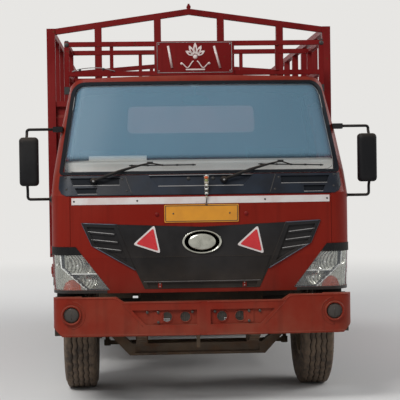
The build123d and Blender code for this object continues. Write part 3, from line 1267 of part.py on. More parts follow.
def tailgate():
    h = BODY_HALF - POST - 8
    y0 = BODY_Y1 - TAILGATE_THICK
    low = BODY_BOTTOM + BODY_RAIL
    flap = block(-h, h, y0, y0 + 6, low, TAILGATE_TOP)
    for z in (low, (low + TAILGATE_TOP) / 2 - 25, TAILGATE_TOP - 50):
        flap += block(-h, h, y0 + 5, BODY_Y1 - 2, z, z + 50)
    for x in (-h, -360, 320, h - 40):
        flap += block(x, x + 40, y0 + 5, BODY_Y1 - 2, low, TAILGATE_TOP)
    for x in HINGE_LUG_X:
        knuckle_ring = rod_x(x - 39, x + 39, TAILGATE_Y, TAILGATE_PIN_Z, 16)
        strap = block(x - 39, x + 39, BODY_Y1 - 3, TAILGATE_Y + 4, TAILGATE_PIN_Z, low + 190)
        flap += knuckle_ring + strap
        flap -= rod_x(x - 41, x + 41, TAILGATE_Y, TAILGATE_PIN_Z, 9 + FIT)
    add("tailgate", flap)


def build():
    frame_rails()
    frame_cross_members()
    leaf_springs()
    front_axle_beam()
    add("knuckle_left", knuckle(1))
    add("knuckle_right", knuckle(-1))
    tie_rod()
    rear_axle_housing()
    engine_and_gearbox()
    propeller_shaft()
    wheels()
    spare_wheel()
    fuel_tank()
    battery_box()
    air_tanks()
    exhaust()
    mud_flaps()
    side_guards()
    rear_underrun_bar()
    body_lamps()
    cab_steps()
    front_bumper()
    cab()
    cab_floor()
    dashboard()
    steering_wheel()
    seats()
    wipers()
    mirrors()
    wheel_arch_liners()
    roof_rack()
    cargo_floor()
    cargo_front_wall()
    cargo_side()
    cargo_rear_frame()
    tailgate()


build()
os.makedirs("parts", exist_ok=True)
for name, solids in parts.items():
    shape = solids[0] if len(solids) == 1 else Compound(children=solids)
    export_step(shape, f"parts/{name}.step")
print(len(parts), "parts")
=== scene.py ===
# %% [markdown]
# # A light cargo truck with a cage body and a rack on its cab roof
# This file dresses a truck whose construction is already made: every part has its real size and place.
# Here each surface gets its finish, and the small things are added that a buyer sees from a step away:
# tyre tread, lamps, wipers, plates, clamps, the beads that hang under the windscreen.
# Units are metres, +X is the vehicle's left, the front faces -Y, +Z is up and the origin is on the ground.

import json
import math

import bmesh
import bpy
from mathutils import Matrix, Vector
from mathutils.bvhtree import BVHTree


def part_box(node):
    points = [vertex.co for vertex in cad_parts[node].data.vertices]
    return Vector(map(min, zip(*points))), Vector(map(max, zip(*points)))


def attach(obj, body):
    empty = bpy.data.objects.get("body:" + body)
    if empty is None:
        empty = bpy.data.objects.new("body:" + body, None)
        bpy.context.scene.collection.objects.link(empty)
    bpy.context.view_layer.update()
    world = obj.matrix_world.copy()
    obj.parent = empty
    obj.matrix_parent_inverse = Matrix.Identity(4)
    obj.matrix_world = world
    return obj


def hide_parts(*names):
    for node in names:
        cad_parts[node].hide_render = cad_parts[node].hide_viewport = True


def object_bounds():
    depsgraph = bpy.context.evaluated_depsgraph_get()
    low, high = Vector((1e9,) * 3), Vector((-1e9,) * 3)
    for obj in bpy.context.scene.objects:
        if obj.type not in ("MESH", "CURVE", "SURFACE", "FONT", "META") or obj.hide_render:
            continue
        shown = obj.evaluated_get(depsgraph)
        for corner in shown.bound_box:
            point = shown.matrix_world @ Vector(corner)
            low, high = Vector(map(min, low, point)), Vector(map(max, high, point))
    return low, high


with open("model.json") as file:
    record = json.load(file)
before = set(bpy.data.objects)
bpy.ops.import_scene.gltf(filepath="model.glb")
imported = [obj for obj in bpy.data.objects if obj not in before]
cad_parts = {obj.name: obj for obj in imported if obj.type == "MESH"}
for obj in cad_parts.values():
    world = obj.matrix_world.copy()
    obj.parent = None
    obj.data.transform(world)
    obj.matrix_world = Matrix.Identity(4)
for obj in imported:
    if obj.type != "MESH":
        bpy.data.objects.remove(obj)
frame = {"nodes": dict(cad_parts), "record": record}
cad_low, cad_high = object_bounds()
nodes = frame["nodes"]
print("CAD box", [round(b - a, 3) for a, b in zip(cad_low, cad_high)], "from", len(nodes), "parts")

# %% [markdown]
# ## Camera
# A long lens far away flattens a truck's face, as in most pictures of one. The bumper face is where the
# distance is measured from. The lens looks a little to the right and down, so that the vanishing point
# of the truck's long axis falls left of the middle.

# %% The camera at the picture's place
FRONT = cad_low.y
CAMERA_GAP = 8.911
CAMERA_SIDE = -0.433
CAMERA_HEIGHT = 1.535
LENS_OVER_WIDTH = 1346.4 / 400
SENSOR = 36.0
YAW = math.radians(-2.687)
PITCH = math.radians(-0.983)
ROLL = math.radians(-0.801)
SIGHT = (0.5, 200)


def placed(name, data):
    """A new object in the scene that shows this data."""
    made = bpy.data.objects.new(name, data)
    bpy.context.scene.collection.objects.link(made)
    return made


def make_camera():
    data = bpy.data.cameras.new("camera")
    data.sensor_width = SENSOR
    data.lens = SENSOR * LENS_OVER_WIDTH
    data.clip_start, data.clip_end = SIGHT
    camera = placed("camera", data)
    place = Matrix.Translation((CAMERA_SIDE, FRONT - CAMERA_GAP, CAMERA_HEIGHT))
    pan = Matrix.Rotation(YAW, 4, "Z")
    tilt = Matrix.Rotation(math.pi / 2 + PITCH, 4, "X")
    turn = pan @ tilt @ Matrix.Rotation(ROLL, 4, "Z")
    camera.matrix_world = place @ turn
    bpy.context.scene.camera = camera
    return camera


camera = make_camera()
print("camera", [round(v, 3) for v in camera.location], "lens", round(camera.data.lens, 1))

# %% [markdown]
# ## Light and floor
# Paint reads best under one broad soft lamp and an even sky. The sky lights the object a little cooler
# than the lamp. What the camera sees behind the truck is only the pale backdrop colour, which
# costs the object no extra light: Light Path tells the camera's own rays from the others.

# %% The world and what the camera sees of it
SKY = (0.90, 0.94, 1.0, 1)
SKY_LEVEL = 0.36
PALE = (0.80, 0.79, 0.77, 1)


def fed(tree, node, inputs):
    """Feeds a node's sockets, each with a value or with the socket that a link comes from."""
    for key, value in inputs.items():
        if isinstance(value, bpy.types.NodeSocket):
            tree.links.new(value, node.inputs[key])
        else:
            node.inputs[key].default_value = value
    return node


def wired(tree, kind, inputs, **settings):
    """A new node with its settings and with what feeds its sockets."""
    made = tree.nodes.new(kind)
    for word, value in settings.items():
        setattr(made, word, value)
    return fed(tree, made, inputs)


def pale_for_eyes(tree, lit, colour):
    """Shows a plain pale colour to the camera, glossy and glass rays, and the lit shader to all others."""
    rays = wired(tree, "ShaderNodeLightPath", {}).outputs
    kind = "ShaderNodeBackground" if lit.type == "BACKGROUND" else "ShaderNodeEmission"
    plain = wired(tree, kind, {"Color": colour})
    eyes = rays["Is Camera Ray"]
    for ray in ("Is Glossy Ray", "Is Transmission Ray"):
        eyes = wired(tree, "ShaderNodeMath", {0: eyes, 1: rays[ray]}, operation="MAXIMUM").outputs[0]
    return wired(tree, "ShaderNodeMixShader", {0: eyes, 1: lit.outputs[0], 2: plain.outputs[0]})


def make_world():
    world = bpy.data.worlds.new("sky")
    world.use_nodes = True
    tree = world.node_tree
    sky = fed(tree, tree.nodes["Background"], {"Color": SKY, "Strength": SKY_LEVEL})
    mix = pale_for_eyes(tree, sky, PALE)
    fed(tree, tree.nodes["World Output"], {"Surface": mix.outputs[0]})
    bpy.context.scene.world = world


make_world()
print("sky level", SKY_LEVEL)

# %% Three broad lamps: name, power, size, place and what each is aimed at
LAMPS = (("key", 620, (5.0, 3.0), (-4.5, FRONT - 5.0, 8.0), (0, FRONT + 1, 1.2)),
         ("side", 260, (5.0, 3.0), (8.0, 0.0, 5.0), (0, 0, 1.2)),
         ("rear", 260, (6.0, 3.0), (-4.0, 9.0, 6.0), (0, 1, 1.5)))


def make_lamp(name, power, size, place, aim):
    data = bpy.data.lights.new(name, "AREA")
    data.shape = "RECTANGLE"
    data.size, data.size_y = size
    data.energy = power
    lamp = placed(name, data)
    lamp.location = place
    lamp.rotation_euler = (Vector(aim) - Vector(place)).to_track_quat("-Z", "Y").to_euler()
    return lamp


print("lamps", [make_lamp(*row).name for row in LAMPS])

# %% [markdown]
# The truck stands on bare pale ground. A cut-out picture would show no ground at all, but then the tyres
# seem to hang in the air. So the floor takes the shadow near the truck, and further off it fades into the
# colour of the backdrop, which leaves no horizon.

# %% Floor
FLOOR = (0.74, 0.73, 0.71, 1)
FLOOR_ROUGHNESS = 0.9
FLOOR_REACH = 60.0
FADE = (3.0, 14.0)


def fade_far(tree, shader):
    """Lets the far floor run into the backdrop for the camera, and leaves the near floor with its shadow."""
    mix = pale_for_eyes(tree, shader, PALE)
    place = wired(tree, "ShaderNodeNewGeometry", {}).outputs["Position"]
    far = wired(tree, "ShaderNodeVectorMath", {0: place}, operation="LENGTH").outputs["Value"]
    reach = {"Value": far, "From Min": FADE[0], "From Max": FADE[1]}
    part = wired(tree, "ShaderNodeMapRange", reach, interpolation_type="SMOOTHSTEP").outputs[0]
    eyes = mix.inputs[0].links[0].from_socket
    both_masks = wired(tree, "ShaderNodeMath", {0: part, 1: eyes}, operation="MULTIPLY")
    fed(tree, mix, {0: both_masks.outputs[0]})
    fed(tree, tree.nodes["Material Output"], {"Surface": mix.outputs[0]})


def make_floor():
    mesh = bpy.data.meshes.new("floor")
    far = FLOOR_REACH
    mesh.from_pydata([(-far, -far, 0), (far, -far, 0), (far, far, 0), (-far, far, 0)], [], [(0, 1, 2, 3)])
    floor = placed("floor", mesh)
    material = bpy.data.materials.new("pale_floor")
    material.use_nodes = True
    tree = material.node_tree
    look = {"Base Color": FLOOR, "Roughness": FLOOR_ROUGHNESS}
    fade_far(tree, fed(tree, tree.nodes["Principled BSDF"], look))
    mesh.materials.append(material)


make_floor()
bpy.context.scene.view_settings.view_transform = "Standard"
print("the floor fades from", FADE[0], "to", FADE[1], "metres")

# %% [markdown]
# ## Shader maths in plain Python
# A finish is a small calculation: noise, times a mask, mixed with a colour. Wiring that by hand hides it.
# One class wraps a socket, so that `1 - mask * 0.4` adds the Math nodes by itself, and one method adds any
# other node from its type, its settings and what feeds its sockets.

# %% A socket that understands + - * and >
class Link:
    """A socket of one finish. Signs on it add Math nodes to that finish."""

    def __init__(self, finish, socket):
        self.finish = finish
        self.socket = socket

    def maths(self, operation, first, second=0.0, clamp=False):
        settings = {"operation": operation, "use_clamp": clamp}
        return self.finish.node("ShaderNodeMath", settings, {0: first, 1: second})

    def __add__(self, other):
        return self.maths("ADD", self, other)

    def __sub__(self, other):
        return self.maths("SUBTRACT", self, other)

    def __rsub__(self, other):
        return self.maths("SUBTRACT", other, self)

    def __mul__(self, other):
        return self.maths("MULTIPLY", self, other)

    def __gt__(self, other):
        return self.maths("GREATER_THAN", self, other)

    def __abs__(self):
        return self.maths("ABSOLUTE", self)

    def sine(self):
        return self.maths("SINE", self)

    def held(self):
        """The same value, kept between 0 and 1."""
        return self.maths("ADD", self, 0.0, clamp=True)

    __radd__ = __add__
    __rmul__ = __mul__


def socket_of(value):
    """What can feed a socket: a Link's own socket, or a plain value as it is."""
    return value.socket if isinstance(value, Link) else value


# %% A finish and its one way to add a node
class Finish:
    """A material with one Principled shader."""

    def __init__(self, name, colour, roughness=0.5, metallic=0.0, fixed=None):
        self.material = bpy.data.materials.new(name)
        self.material.use_nodes = True
        self.tree = self.material.node_tree
        self.shader = self.tree.nodes["Principled BSDF"]
        self.set("Base Color", colour)
        self.set("Roughness", roughness)
        self.set("Metallic", metallic)
        for socket, value in (fixed or {}).items():
            self.set(socket, value)

    def set(self, socket, value):
        fed(self.tree, self.shader, {socket: socket_of(value)})

    def node(self, kind, settings=None, inputs=None, output=0):
        sockets = {key: socket_of(value) for key, value in (inputs or {}).items()}
        return Link(self, wired(self.tree, kind, sockets, **(settings or {})).outputs[output])

    def place(self):
        return self.node("ShaderNodeTexCoord", output="Object")

    def noise(self, scale, detail=3.0, stretch=(1, 1, 1)):
        place = self.node("ShaderNodeVectorMath", {"operation": "MULTIPLY"}, {0: self.place(), 1: stretch})
        sockets = {"Vector": place, "Scale": scale, "Detail": detail, "Roughness": 0.55}
        return self.node("ShaderNodeTexNoise", {}, sockets)

    def step(self, value, low, high):
        return self.node("ShaderNodeMapRange", {"interpolation_type": "SMOOTHSTEP"},
                         {"Value": value, "From Min": low, "From Max": high})

    def mix(self, factor, first, second):
        return self.node("ShaderNodeMix", {"data_type": "RGBA"}, {0: factor, 6: first, 7: second}, output=2)

    def upward(self):
        """How much a face looks up: 1 for a roof, 0 for a wall."""
        normal = self.node("ShaderNodeNewGeometry", output="Normal")
        return self.node("ShaderNodeSeparateXYZ", {}, {0: normal}, output="Z")

    def along(self, axis):
        """How far a point lies along X, Y or Z of the truck."""
        return self.node("ShaderNodeSeparateXYZ", {}, {0: self.place()}, output=axis)

    def finished(self, colour, roughness, relief=None, deep=0.0, edges=0.0):
        """Feeds colour, roughness and small relief, and gives the material. Edges look rounded by edges."""
        self.set("Base Color", colour)
        self.set("Roughness", roughness.held())
        if relief is not None:
            inputs = {"Height": relief, "Distance": deep}
            if edges:
                inputs["Normal"] = self.node("ShaderNodeBevel", {"samples": 4}, {"Radius": edges})
            self.set("Normal", self.node("ShaderNodeBump", {}, inputs))
        return self.material


def seen(red, green, blue):
    """A colour as an eye reads it on a screen, 0 to 255, as the linear numbers that a shader wants."""
    line = [((c / 255 + 0.055) / 1.055) ** 2.4 if c > 10 else c / 3294.6 for c in (red, green, blue)]
    return (*line, 1.0)


print("brick red is", [round(c, 3) for c in seen(134, 32, 22)])

# %% [markdown]
# ## Finishes
# The truck has worked outdoors. Every paint has faded patches, thin vertical streaks where rain ran down,
# and road dust that gathers low on the truck and on faces that look up. One function lays that dust on any
# colour, so that neighbouring parts agree with each other.

# %% Dust and paint
ROAD_DUST = seen(150, 128, 104)
RUST = seen(92, 52, 32)
PAINT_EDGE = 0.004
HARD_EDGE = 0.003


def dusty(finish, colour, top, amount):
    """Mixes road dust into a colour, most of it under the height top. Gives the colour and the mask."""
    low = finish.step(finish.along("Z"), top, 0.0)
    up = finish.upward().held()
    patches = finish.step(finish.noise(5.0, 5.0), 0.25, 0.75)
    mask = ((low * 0.8 + up * 0.45) * (patches * 0.7 + 0.3) * amount).held()
    return finish.mix(mask, colour, ROAD_DUST), mask


def paint(name, colour, faded, roughness=0.42, dust_top=1.1, dust=0.6, chips=0.0):
    finish = Finish(name, colour, roughness, 0.0, {"Coat Weight": 0.02, "Specular IOR Level": 0.10})
    clouds = finish.step(finish.noise(1.7, 4.0), 0.35, 0.72)
    streaks = finish.step(finish.noise(2.6, 4.0, stretch=(7, 7, 0.35)), 0.48, 0.75)
    tone = finish.mix(clouds * 0.65, colour, faded)
    tone = finish.mix(streaks * 0.35, tone, tuple(c * 0.45 for c in colour[:3]) + (1.0,))
    if chips:
        worn = finish.noise(38.0, 3.0) > 1.0 - chips
        tone = finish.mix(worn * 0.8, tone, RUST)
    tone, mask = dusty(finish, tone, dust_top, dust)
    ripple = finish.noise(9.0, 2.0) + finish.noise(220.0, 2.0) * 0.02
    return finish.finished(tone, mask * 0.4 + clouds * 0.14 + roughness, ripple, 0.0016, PAINT_EDGE)


def bare_metal(name, colour, rust, roughness=0.45, metallic=0.9, dust_top=0.9, dust=0.6):
    finish = Finish(name, colour, roughness, metallic)
    patches = finish.step(finish.noise(11.0, 6.0), 0.42, 0.68) * rust
    tone = finish.mix(patches, colour, RUST)
    tone, mask = dusty(finish, tone, dust_top, dust)
    finish.set("Metallic", ((1.0 - patches) * (1.0 - mask) * metallic).held())
    pits = finish.noise(70.0, 4.0)
    return finish.finished(tone, patches * 0.35 + mask * 0.3 + roughness, pits, 0.0012, HARD_EDGE)


def plastic(name, colour, worn, roughness=0.5, dust_top=0.9, dust=0.5, grain=420.0):
    finish = Finish(name, colour, roughness, 0.0, {"IOR": 1.46, "Specular IOR Level": 0.16})
    patches = finish.step(finish.noise(3.2, 5.0), 0.38, 0.7)
    tone, mask = dusty(finish, finish.mix(patches * 0.7, colour, worn), dust_top, dust)
    skin = finish.noise(grain, 2.0)
    return finish.finished(tone, patches * 0.2 + mask * 0.3 + roughness, skin, 0.0003, HARD_EDGE)


print("dust", [round(c, 2) for c in ROAD_DUST[:3]])

# %% [markdown]
# The cab's red has gone dull, the cage's maroon is chipped to rust, and axles and springs are bare metal
# under dirt. Each could be a painted picture, but a picture needs an unwrapped mesh and repeats itself.
# Here three functions give all of them, each with its own colours, roughness, dust and share of chips.

# %% The paints, metals and plastics of this truck
finishes = {}
for maker, name, *looks in (
        (paint, "cab_red", seen(120, 22, 10), seen(128, 34, 22), 0.34, 1.1, 0.4),
        (paint, "bumper_red", seen(124, 24, 9), seen(132, 38, 20), 0.4, 1.0, 0.5, 0.25),
        (paint, "cage_maroon", seen(112, 18, 18), seen(132, 40, 38), 0.46, 1.3, 0.4, 0.3),
        (paint, "chassis_black", seen(38, 36, 34), seen(66, 58, 50), 0.6, 1.2, 0.9, 0.34),
        (paint, "floor_steel", seen(96, 50, 42), seen(122, 84, 66), 0.6, 1.6, 0.8, 0.4),
        (paint, "wheel_paint", seen(128, 120, 108), seen(112, 96, 78), 0.55, 1.2, 0.9, 0.3),
        (bare_metal, "cast_axle", seen(66, 56, 50), 0.9, 0.6, 0.3, 1.2, 0.9),
        (bare_metal, "spring_steel", seen(86, 72, 62), 0.95, 0.55, 0.5, 1.2, 0.9),
        (bare_metal, "engine_grey", seen(96, 94, 92), 0.4, 0.6, 0.4, 1.2, 0.7),
        (paint, "tank_steel", seen(48, 46, 44), seen(78, 72, 64), 0.42, 1.2, 0.9, 0.25),
        (bare_metal, "exhaust_steel", seen(128, 108, 90), 0.95, 0.5, 0.7, 1.0, 0.7),
        (plastic, "black_plastic", seen(20, 20, 22), seen(44, 43, 42), 0.5),
        (plastic, "black_rubber", seen(34, 32, 31), seen(62, 56, 50), 0.75, 1.3, 0.9, 160.0),
        (plastic, "seal_rubber", seen(11, 14, 19), seen(26, 31, 38), 0.6, 0.5, 0.0),
        (plastic, "cowl_dark", seen(14, 22, 32), seen(32, 44, 58), 0.28, 0.8, 0.2),
        (plastic, "grille_black", seen(20, 20, 22), seen(44, 43, 44), 0.45, 1.2, 0.5),
        # The dash is painted lighter than its own beige, as painted light for the sun that falls on it
        # through the windscreen.
        (plastic, "dash_beige", seen(244, 242, 234), seen(226, 220, 208), 0.6, 1.0, 0.1)):
    finishes[name] = maker(name, *looks)
print(len(finishes), "opaque finishes")

# %% [markdown]
# Rubber, cloth, lamp silver, glass and ribbed lenses take the light each in its own way. A tyre could be
# plain black, but a used one is brown with dust that is packed on it at two scales. Glass could refract,
# which is slow and goes dark in a thin pane, so a film that is partly see-through stands for it, and its
# tint is a painted reflection.

# %% Rubber, cloth and lamp silver
CLOTH_RIBS = 520.0


def tyre_finish():
    finish = Finish("tyre_rubber", seen(46, 42, 40), 0.85)
    packed = finish.step(finish.noise(26.0, 6.0), 0.30, 0.66)
    broad = finish.step(finish.noise(4.0, 3.0), 0.3, 0.7)
    tone = finish.mix(packed * 0.75, seen(40, 36, 34), seen(112, 94, 78))
    tone = finish.mix(broad * 0.45, tone, seen(132, 112, 92))
    return finish.finished(tone, packed * 0.12 + 0.82, finish.noise(140.0, 4.0), 0.0012)


def cloth_finish():
    finish = Finish("seat_cloth", seen(60, 50, 52), 0.9)
    ribs = abs((finish.along("X") * CLOTH_RIBS).sine())
    tone = finish.mix(finish.step(finish.noise(3.0, 4.0), 0.3, 0.7), seen(46, 38, 42), seen(92, 74, 66))
    tone = finish.mix(ribs * 0.35, tone, seen(28, 24, 26))
    return finish.finished(tone, finish.noise(30.0, 3.0) * 0.15 + 0.8, ribs, 0.0012)


def chrome_finish():
    finish = Finish("lamp_silver", seen(168, 174, 172), 0.2, 1.0)
    dull = finish.step(finish.noise(14.0, 5.0), 0.35, 0.7)
    tone = finish.mix(dull * 0.45, seen(182, 182, 172), seen(104, 104, 94))
    return finish.finished(tone, dull * 0.22 + 0.14, finish.noise(60.0, 2.0), 0.0004)


print("ribs of the cloth, in mm from one to the next:", round(1000 * math.pi / CLOTH_RIBS, 1))

# %% Glass and ribbed lenses
LENS_RIBS = 260.0


def glass_reflection_finish(name, colour, alpha, roughness, film, clear_under=0.0, clear_to=0.0):
    """Glass seen from outside: a thin film, tinted as a painted reflection, whose opacity varies with dirt,
    so it shows what is behind.

    Between the two heights the film fades in: a windscreen's foot mirrors a dark panel and not the sky.
    """
    finish = Finish(name, colour, roughness, 0.0, {"IOR": 1.5, "Specular IOR Level": 0.12})
    dirt = finish.step(finish.noise(1.3, 2.0, stretch=(1, 1, 0.6)), 0.3, 0.8)
    film_here = dirt * film + alpha
    if clear_to:
        film_here = film_here * (finish.step(finish.along("Z"), clear_under, clear_to) * 0.92 + 0.08)
    finish.set("Alpha", film_here.held())
    return finish.finished(finish.mix(dirt * film, colour, seen(150, 150, 150)), dirt * 0.06 + roughness)


def glowing_rear_glass_finish():
    """The cab's rear window: dusty glass whose pinkish tone and glow are painted light, for the daylight
    behind it.
    """
    glow = {"Specular IOR Level": 0.1, "Emission Strength": 0.30}
    finish = Finish("rear_glass", seen(168, 130, 128), 0.3, 0.0, glow)
    dirt = finish.step(finish.noise(4.0, 4.0), 0.3, 0.75)
    tone = finish.mix(dirt * 0.7, seen(186, 142, 140), seen(150, 120, 118))
    finish.set("Emission Color", tone)
    finish.set("Alpha", (dirt * 0.15 + 0.75).held())
    return finish.finished(tone, dirt * 0.2 + 0.3)


def red_lens_finish(name, colour, deep):
    finish = Finish(name, colour, 0.18, 0.0, {"Coat Weight": 0.5})
    wave = abs((finish.along("X") * LENS_RIBS).sine())
    scratches = finish.noise(12.0, 4.0)
    return finish.finished(finish.mix(wave * 0.6, colour, deep), scratches * 0.2 + 0.12, wave, 0.0006)


finishes["tyre_rubber"] = tyre_finish()
finishes["seat_cloth"] = cloth_finish()
finishes["lamp_silver"] = chrome_finish()
# The pale film on the lamp lenses and the blue-grey film on the windows are painted reflections.
finishes["lamp_clear"] = glass_reflection_finish("lamp_clear", seen(206, 212, 214), 0.07, 0.08, 0.06)
finishes["window_glass"] = glass_reflection_finish("window_glass", seen(124, 164, 186), 0.37, 0.16, 0.06, 1.65, 1.70)
finishes["rear_glass"] = glowing_rear_glass_finish()
finishes["lamp_red"] = red_lens_finish("lamp_red", seen(176, 20, 14), seen(90, 6, 6))
for name in nodes:
    nodes[name].data.materials.clear()
for row in frame["record"]["subparts"]:
    nodes[row["node"]].data.materials.append(finishes[row["material_slot"]])
nodes["rear_window_glass"].data.materials[0] = finishes["rear_glass"]

# %% [markdown]
# ## A small kit for shapes
# Every added piece is built from a few moves: a box, a flat outline with a thickness, a profile turned
# about an axle, a tube along a path, and a skin through rings of points. A piece keeps the number of its
# finish on each face, so a lamp can hold chrome, bulb and glass in one object.

# %% One class that collects the faces of a piece
SLOTS = {row["slot"] for row in frame["record"]["materials"]}


class Shape:
    """Points and faces of one piece, each face with the number of its finish."""

    def __init__(self):
        self.points = []
        self.faces = []
        self.slots = []
        self.smooth = []

    def add(self, points, faces, slot=0, smooth=False, turn=Matrix()):
        start = len(self.points)
        self.points += [turn @ Vector(point) for point in points]
        self.faces += [[start + index for index in face] for face in faces]
        self.slots += [slot] * len(faces)
        self.smooth += [smooth] * len(faces)

    def box(self, low, high, slot=0, turn=Matrix()):
        corners = [(x, y, z) for x in (low[0], high[0]) for y in (low[1], high[1]) for z in (low[2], high[2])]
        sides = [(0, 1, 3, 2), (4, 6, 7, 5), (0, 4, 5, 1), (2, 3, 7, 6), (0, 2, 6, 4), (1, 5, 7, 3)]
        self.add(corners, sides, slot, False, turn)

    def skin(self, rings, slot=0, smooth=True, turn=Matrix(), closed=True, ends=True):
        """Faces between rings of equal length. A closed ring joins its last point to its first."""
        count = len(rings[0])
        columns = [(i, (i + 1) % count) for i in range(count if closed else count - 1)]
        faces = [(row + a, row + b, row + count + b, row + count + a)
                 for row in range(0, (len(rings) - 1) * count, count) for a, b in columns]
        if ends:
            faces += [tuple(range(count)), tuple(range((len(rings) - 1) * count, len(rings) * count))]
        self.add([point for ring in rings for point in ring], faces, slot, smooth, turn)

    def lathe(self, profile, slot=0, turn=Matrix(), steps=32, smooth=True):
        """A profile of radius and height turned about Z."""
        rings = []
        for k in range(steps):
            angle = math.tau * k / steps
            rings.append([(r * math.cos(angle), r * math.sin(angle), z) for r, z in profile])
        rings.append(rings[0])
        self.skin(rings, slot, smooth, turn, closed=False, ends=False)

    def prism(self, outline, low, high, slot=0, turn=Matrix()):
        """A flat outline in X and Y between two heights."""
        self.skin([[(x, y, low) for x, y in outline], [(x, y, high) for x, y in outline]], slot, False, turn)

    def tube(self, path, radius, slot=0, sides=10):
        """A round rod along a path. Each ring keeps the last one's twist, so the rod doesn't wring itself."""
        points = [Vector(point) for point in path]
        ways = [(b - a).normalized() for a, b in zip(points, points[1:])]
        ways = [ways[0]] + [(a + b).normalized() for a, b in zip(ways, ways[1:])] + [ways[-1]]
        side = ways[0].orthogonal().normalized()
        rings = []
        for point, way in zip(points, ways):
            side = (side - way * side.dot(way)).normalized()
            up = way.cross(side)
            rings.append([point + (side * math.cos(a) + up * math.sin(a)) * radius
                          for a in [math.tau * k / sides for k in range(sides)]])
        self.skin(rings, slot)

    def make(self, name, body, *names):
        """The finished piece, riding on a body of the truck. The names are its finishes, in slot order."""
        mesh = bpy.data.meshes.new(name)
        mesh.from_pydata([tuple(point) for point in self.points], [], self.faces)
        for word in names:
            mesh.materials.append(finishes[word])
        mesh.polygons.foreach_set("material_index", self.slots)
        mesh.polygons.foreach_set("use_smooth", self.smooth)
        work = bmesh.new()
        work.from_mesh(mesh)
        bmesh.ops.recalc_face_normals(work, faces=work.faces)
        work.to_mesh(mesh)
        work.free()
        piece = placed(name, mesh)
        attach(piece, body)
        names[0] in SLOTS
        return piece


print("slots that the part has by itself:", len(SLOTS))

# %% Places that face out of the truck
UPRIGHT = Matrix.Rotation(math.pi / 2, 4, "X")


def facing_front(x, y, z):
    """Local X stays across, local Y points up and local Z out of the truck's front."""
    return Matrix.Translation((x, y, z)) @ UPRIGHT


def facing_back(x, y, z):
    return Matrix.Translation((x, y, z)) @ Matrix.Rotation(math.pi, 4, "Z") @ UPRIGHT


def facing_side(x, y, z, side):
    """Local Z points out of the truck's left side, or right side where side is -1."""
    return Matrix.Translation((x, y, z)) @ Matrix.Rotation(side * math.pi / 2, 4, "Z") @ UPRIGHT


print("local Z of a place on the front:", [round(v) for v in facing_front(0, 0, 0).col[2][:3]])


# %% Outlines and bends
def rounded(half_wide, half_high, radius, steps=5):
    """The outline of a rectangle with round corners, about the origin."""
    outline = []
    for quarter in range(4):
        sx = 1 if quarter in (0, 3) else -1
        sy = 1 if quarter in (0, 1) else -1
        for k in range(steps + 1):
            angle = math.pi / 2 * (quarter + k / steps)
            outline.append((sx * (half_wide - radius) + radius * math.cos(angle),
                            sy * (half_high - radius) + radius * math.sin(angle)))
    return outline


def circle(radius, steps=24):
    angles = [math.tau * k / steps for k in range(steps)]
    return [(radius * math.cos(angle), radius * math.sin(angle)) for angle in angles]


def scaled(outline, steps):
    """Rings for a skin: copies of an outline, each with its share of the width and height, and its lift."""
    return [[(a * wide, b * high, out) for a, b in outline] for wide, high, out in steps]


def at_bend(start, corner, end, steps):
    """Points from start to end on a curve that the corner pulls at."""
    return [start.lerp(corner, t).lerp(corner.lerp(end, t), t) for t in [k / steps for k in range(steps + 1)]]


def bent(path, radius):
    """A path whose corners are rounded with an arc-like curve."""
    points = [Vector(p) for p in path]
    out = [points[0]]
    for before, corner, after in zip(points, points[1:], points[2:]):
        start = corner + (before - corner).normalized() * min(radius, (before - corner).length / 2)
        end = corner + (after - corner).normalized() * min(radius, (after - corner).length / 2)
        out += at_bend(start, corner, end, 6)
    return out + [points[-1]]


def both(side_function):
    """Calls a function for the truck's left side and right side and gives the two results."""
    return [side_function(side, word) for side, word in ((1, "left"), (-1, "right"))]


def tell(*pieces):
    """Prints how many faces each new piece has."""
    for piece in pieces:
        print(piece.name, len(piece.data.polygons), "faces")


print("a rounded outline has", len(rounded(1, 1, 0.1)), "points")

# %% [markdown]
# Things stuck on the cab have to follow its bowed front. A Shrinkwrap modifier could press them on. A ray
# shot at the front from ahead gives the depth of the panel as a number instead, so a band, a plate or a
# badge is laid on it where it belongs, and its edge is taken back into the panel.

# %% The surface of the cab's front
EDGE_SINK = 0.004
FAR = 1.0


def surface_of(*names):
    points, faces = [], []
    for name in names:
        mesh = nodes[name].data
        start = len(points)
        points += [vertex.co for vertex in mesh.vertices]
        faces += [[start + index for index in polygon.vertices] for polygon in mesh.polygons]
    return BVHTree.FromPolygons(points, faces)


cab_face = surface_of("cab_shell", "front_panel", "cowl_panel", "grille", "headlamp_lenses",
                      "headlamp_bowls", "windscreen_seal", "windscreen_glass")
bumper_face = surface_of("front_bumper")


def depth_at(surface, x, z):
    hit = surface.ray_cast(Vector((x, FRONT - FAR, z)), Vector((0, 1, 0)))[0]
    return hit.y if hit else FRONT + 0.5


def on_front(surface, x, z):
    """A place on a surface of the front, with local Z out of the truck."""
    return facing_front(x, depth_at(surface, x, z), z)


def laid(shape, surface, outline, lift, slot=0, rings=6):
    """Lays a star-shaped outline of X and Z on a surface, lift proud of it. Its edge goes back into it."""
    cx = sum(x for x, z in outline) / len(outline)
    cz = sum(z for x, z in outline) / len(outline)
    loops = []
    for k in range(1, rings + 1):
        part = k / rings
        loops.append([(cx + (x - cx) * part, cz + (z - cz) * part) for x, z in outline])
    skin = [[(x, depth_at(surface, x, z) - lift, z) for x, z in loop] for loop in loops]
    skin.append([(x, y + lift + EDGE_SINK, z) for x, y, z in skin[-1]])
    shape.skin(skin, slot, False)


def laid_strip(shape, surface, half, low, high, lift, columns):
    """A strip laid across a surface, as far to one side of the middle as to the other."""
    rings = []
    for k in range(columns + 1):
        x = -half + 2 * half * (k / columns)
        y_low, y_high = depth_at(surface, x, low + 0.001), depth_at(surface, x, high - 0.001)
        rings.append([(x, y_low + EDGE_SINK, low), (x, y_low - lift, low),
                      (x, y_high - lift, high), (x, y_high + EDGE_SINK, high)])
    shape.skin(rings, 0, False)


print("front of the cab at its middle:", round(depth_at(cab_face, 0, 1.3) - FRONT, 3), "behind the bumper")

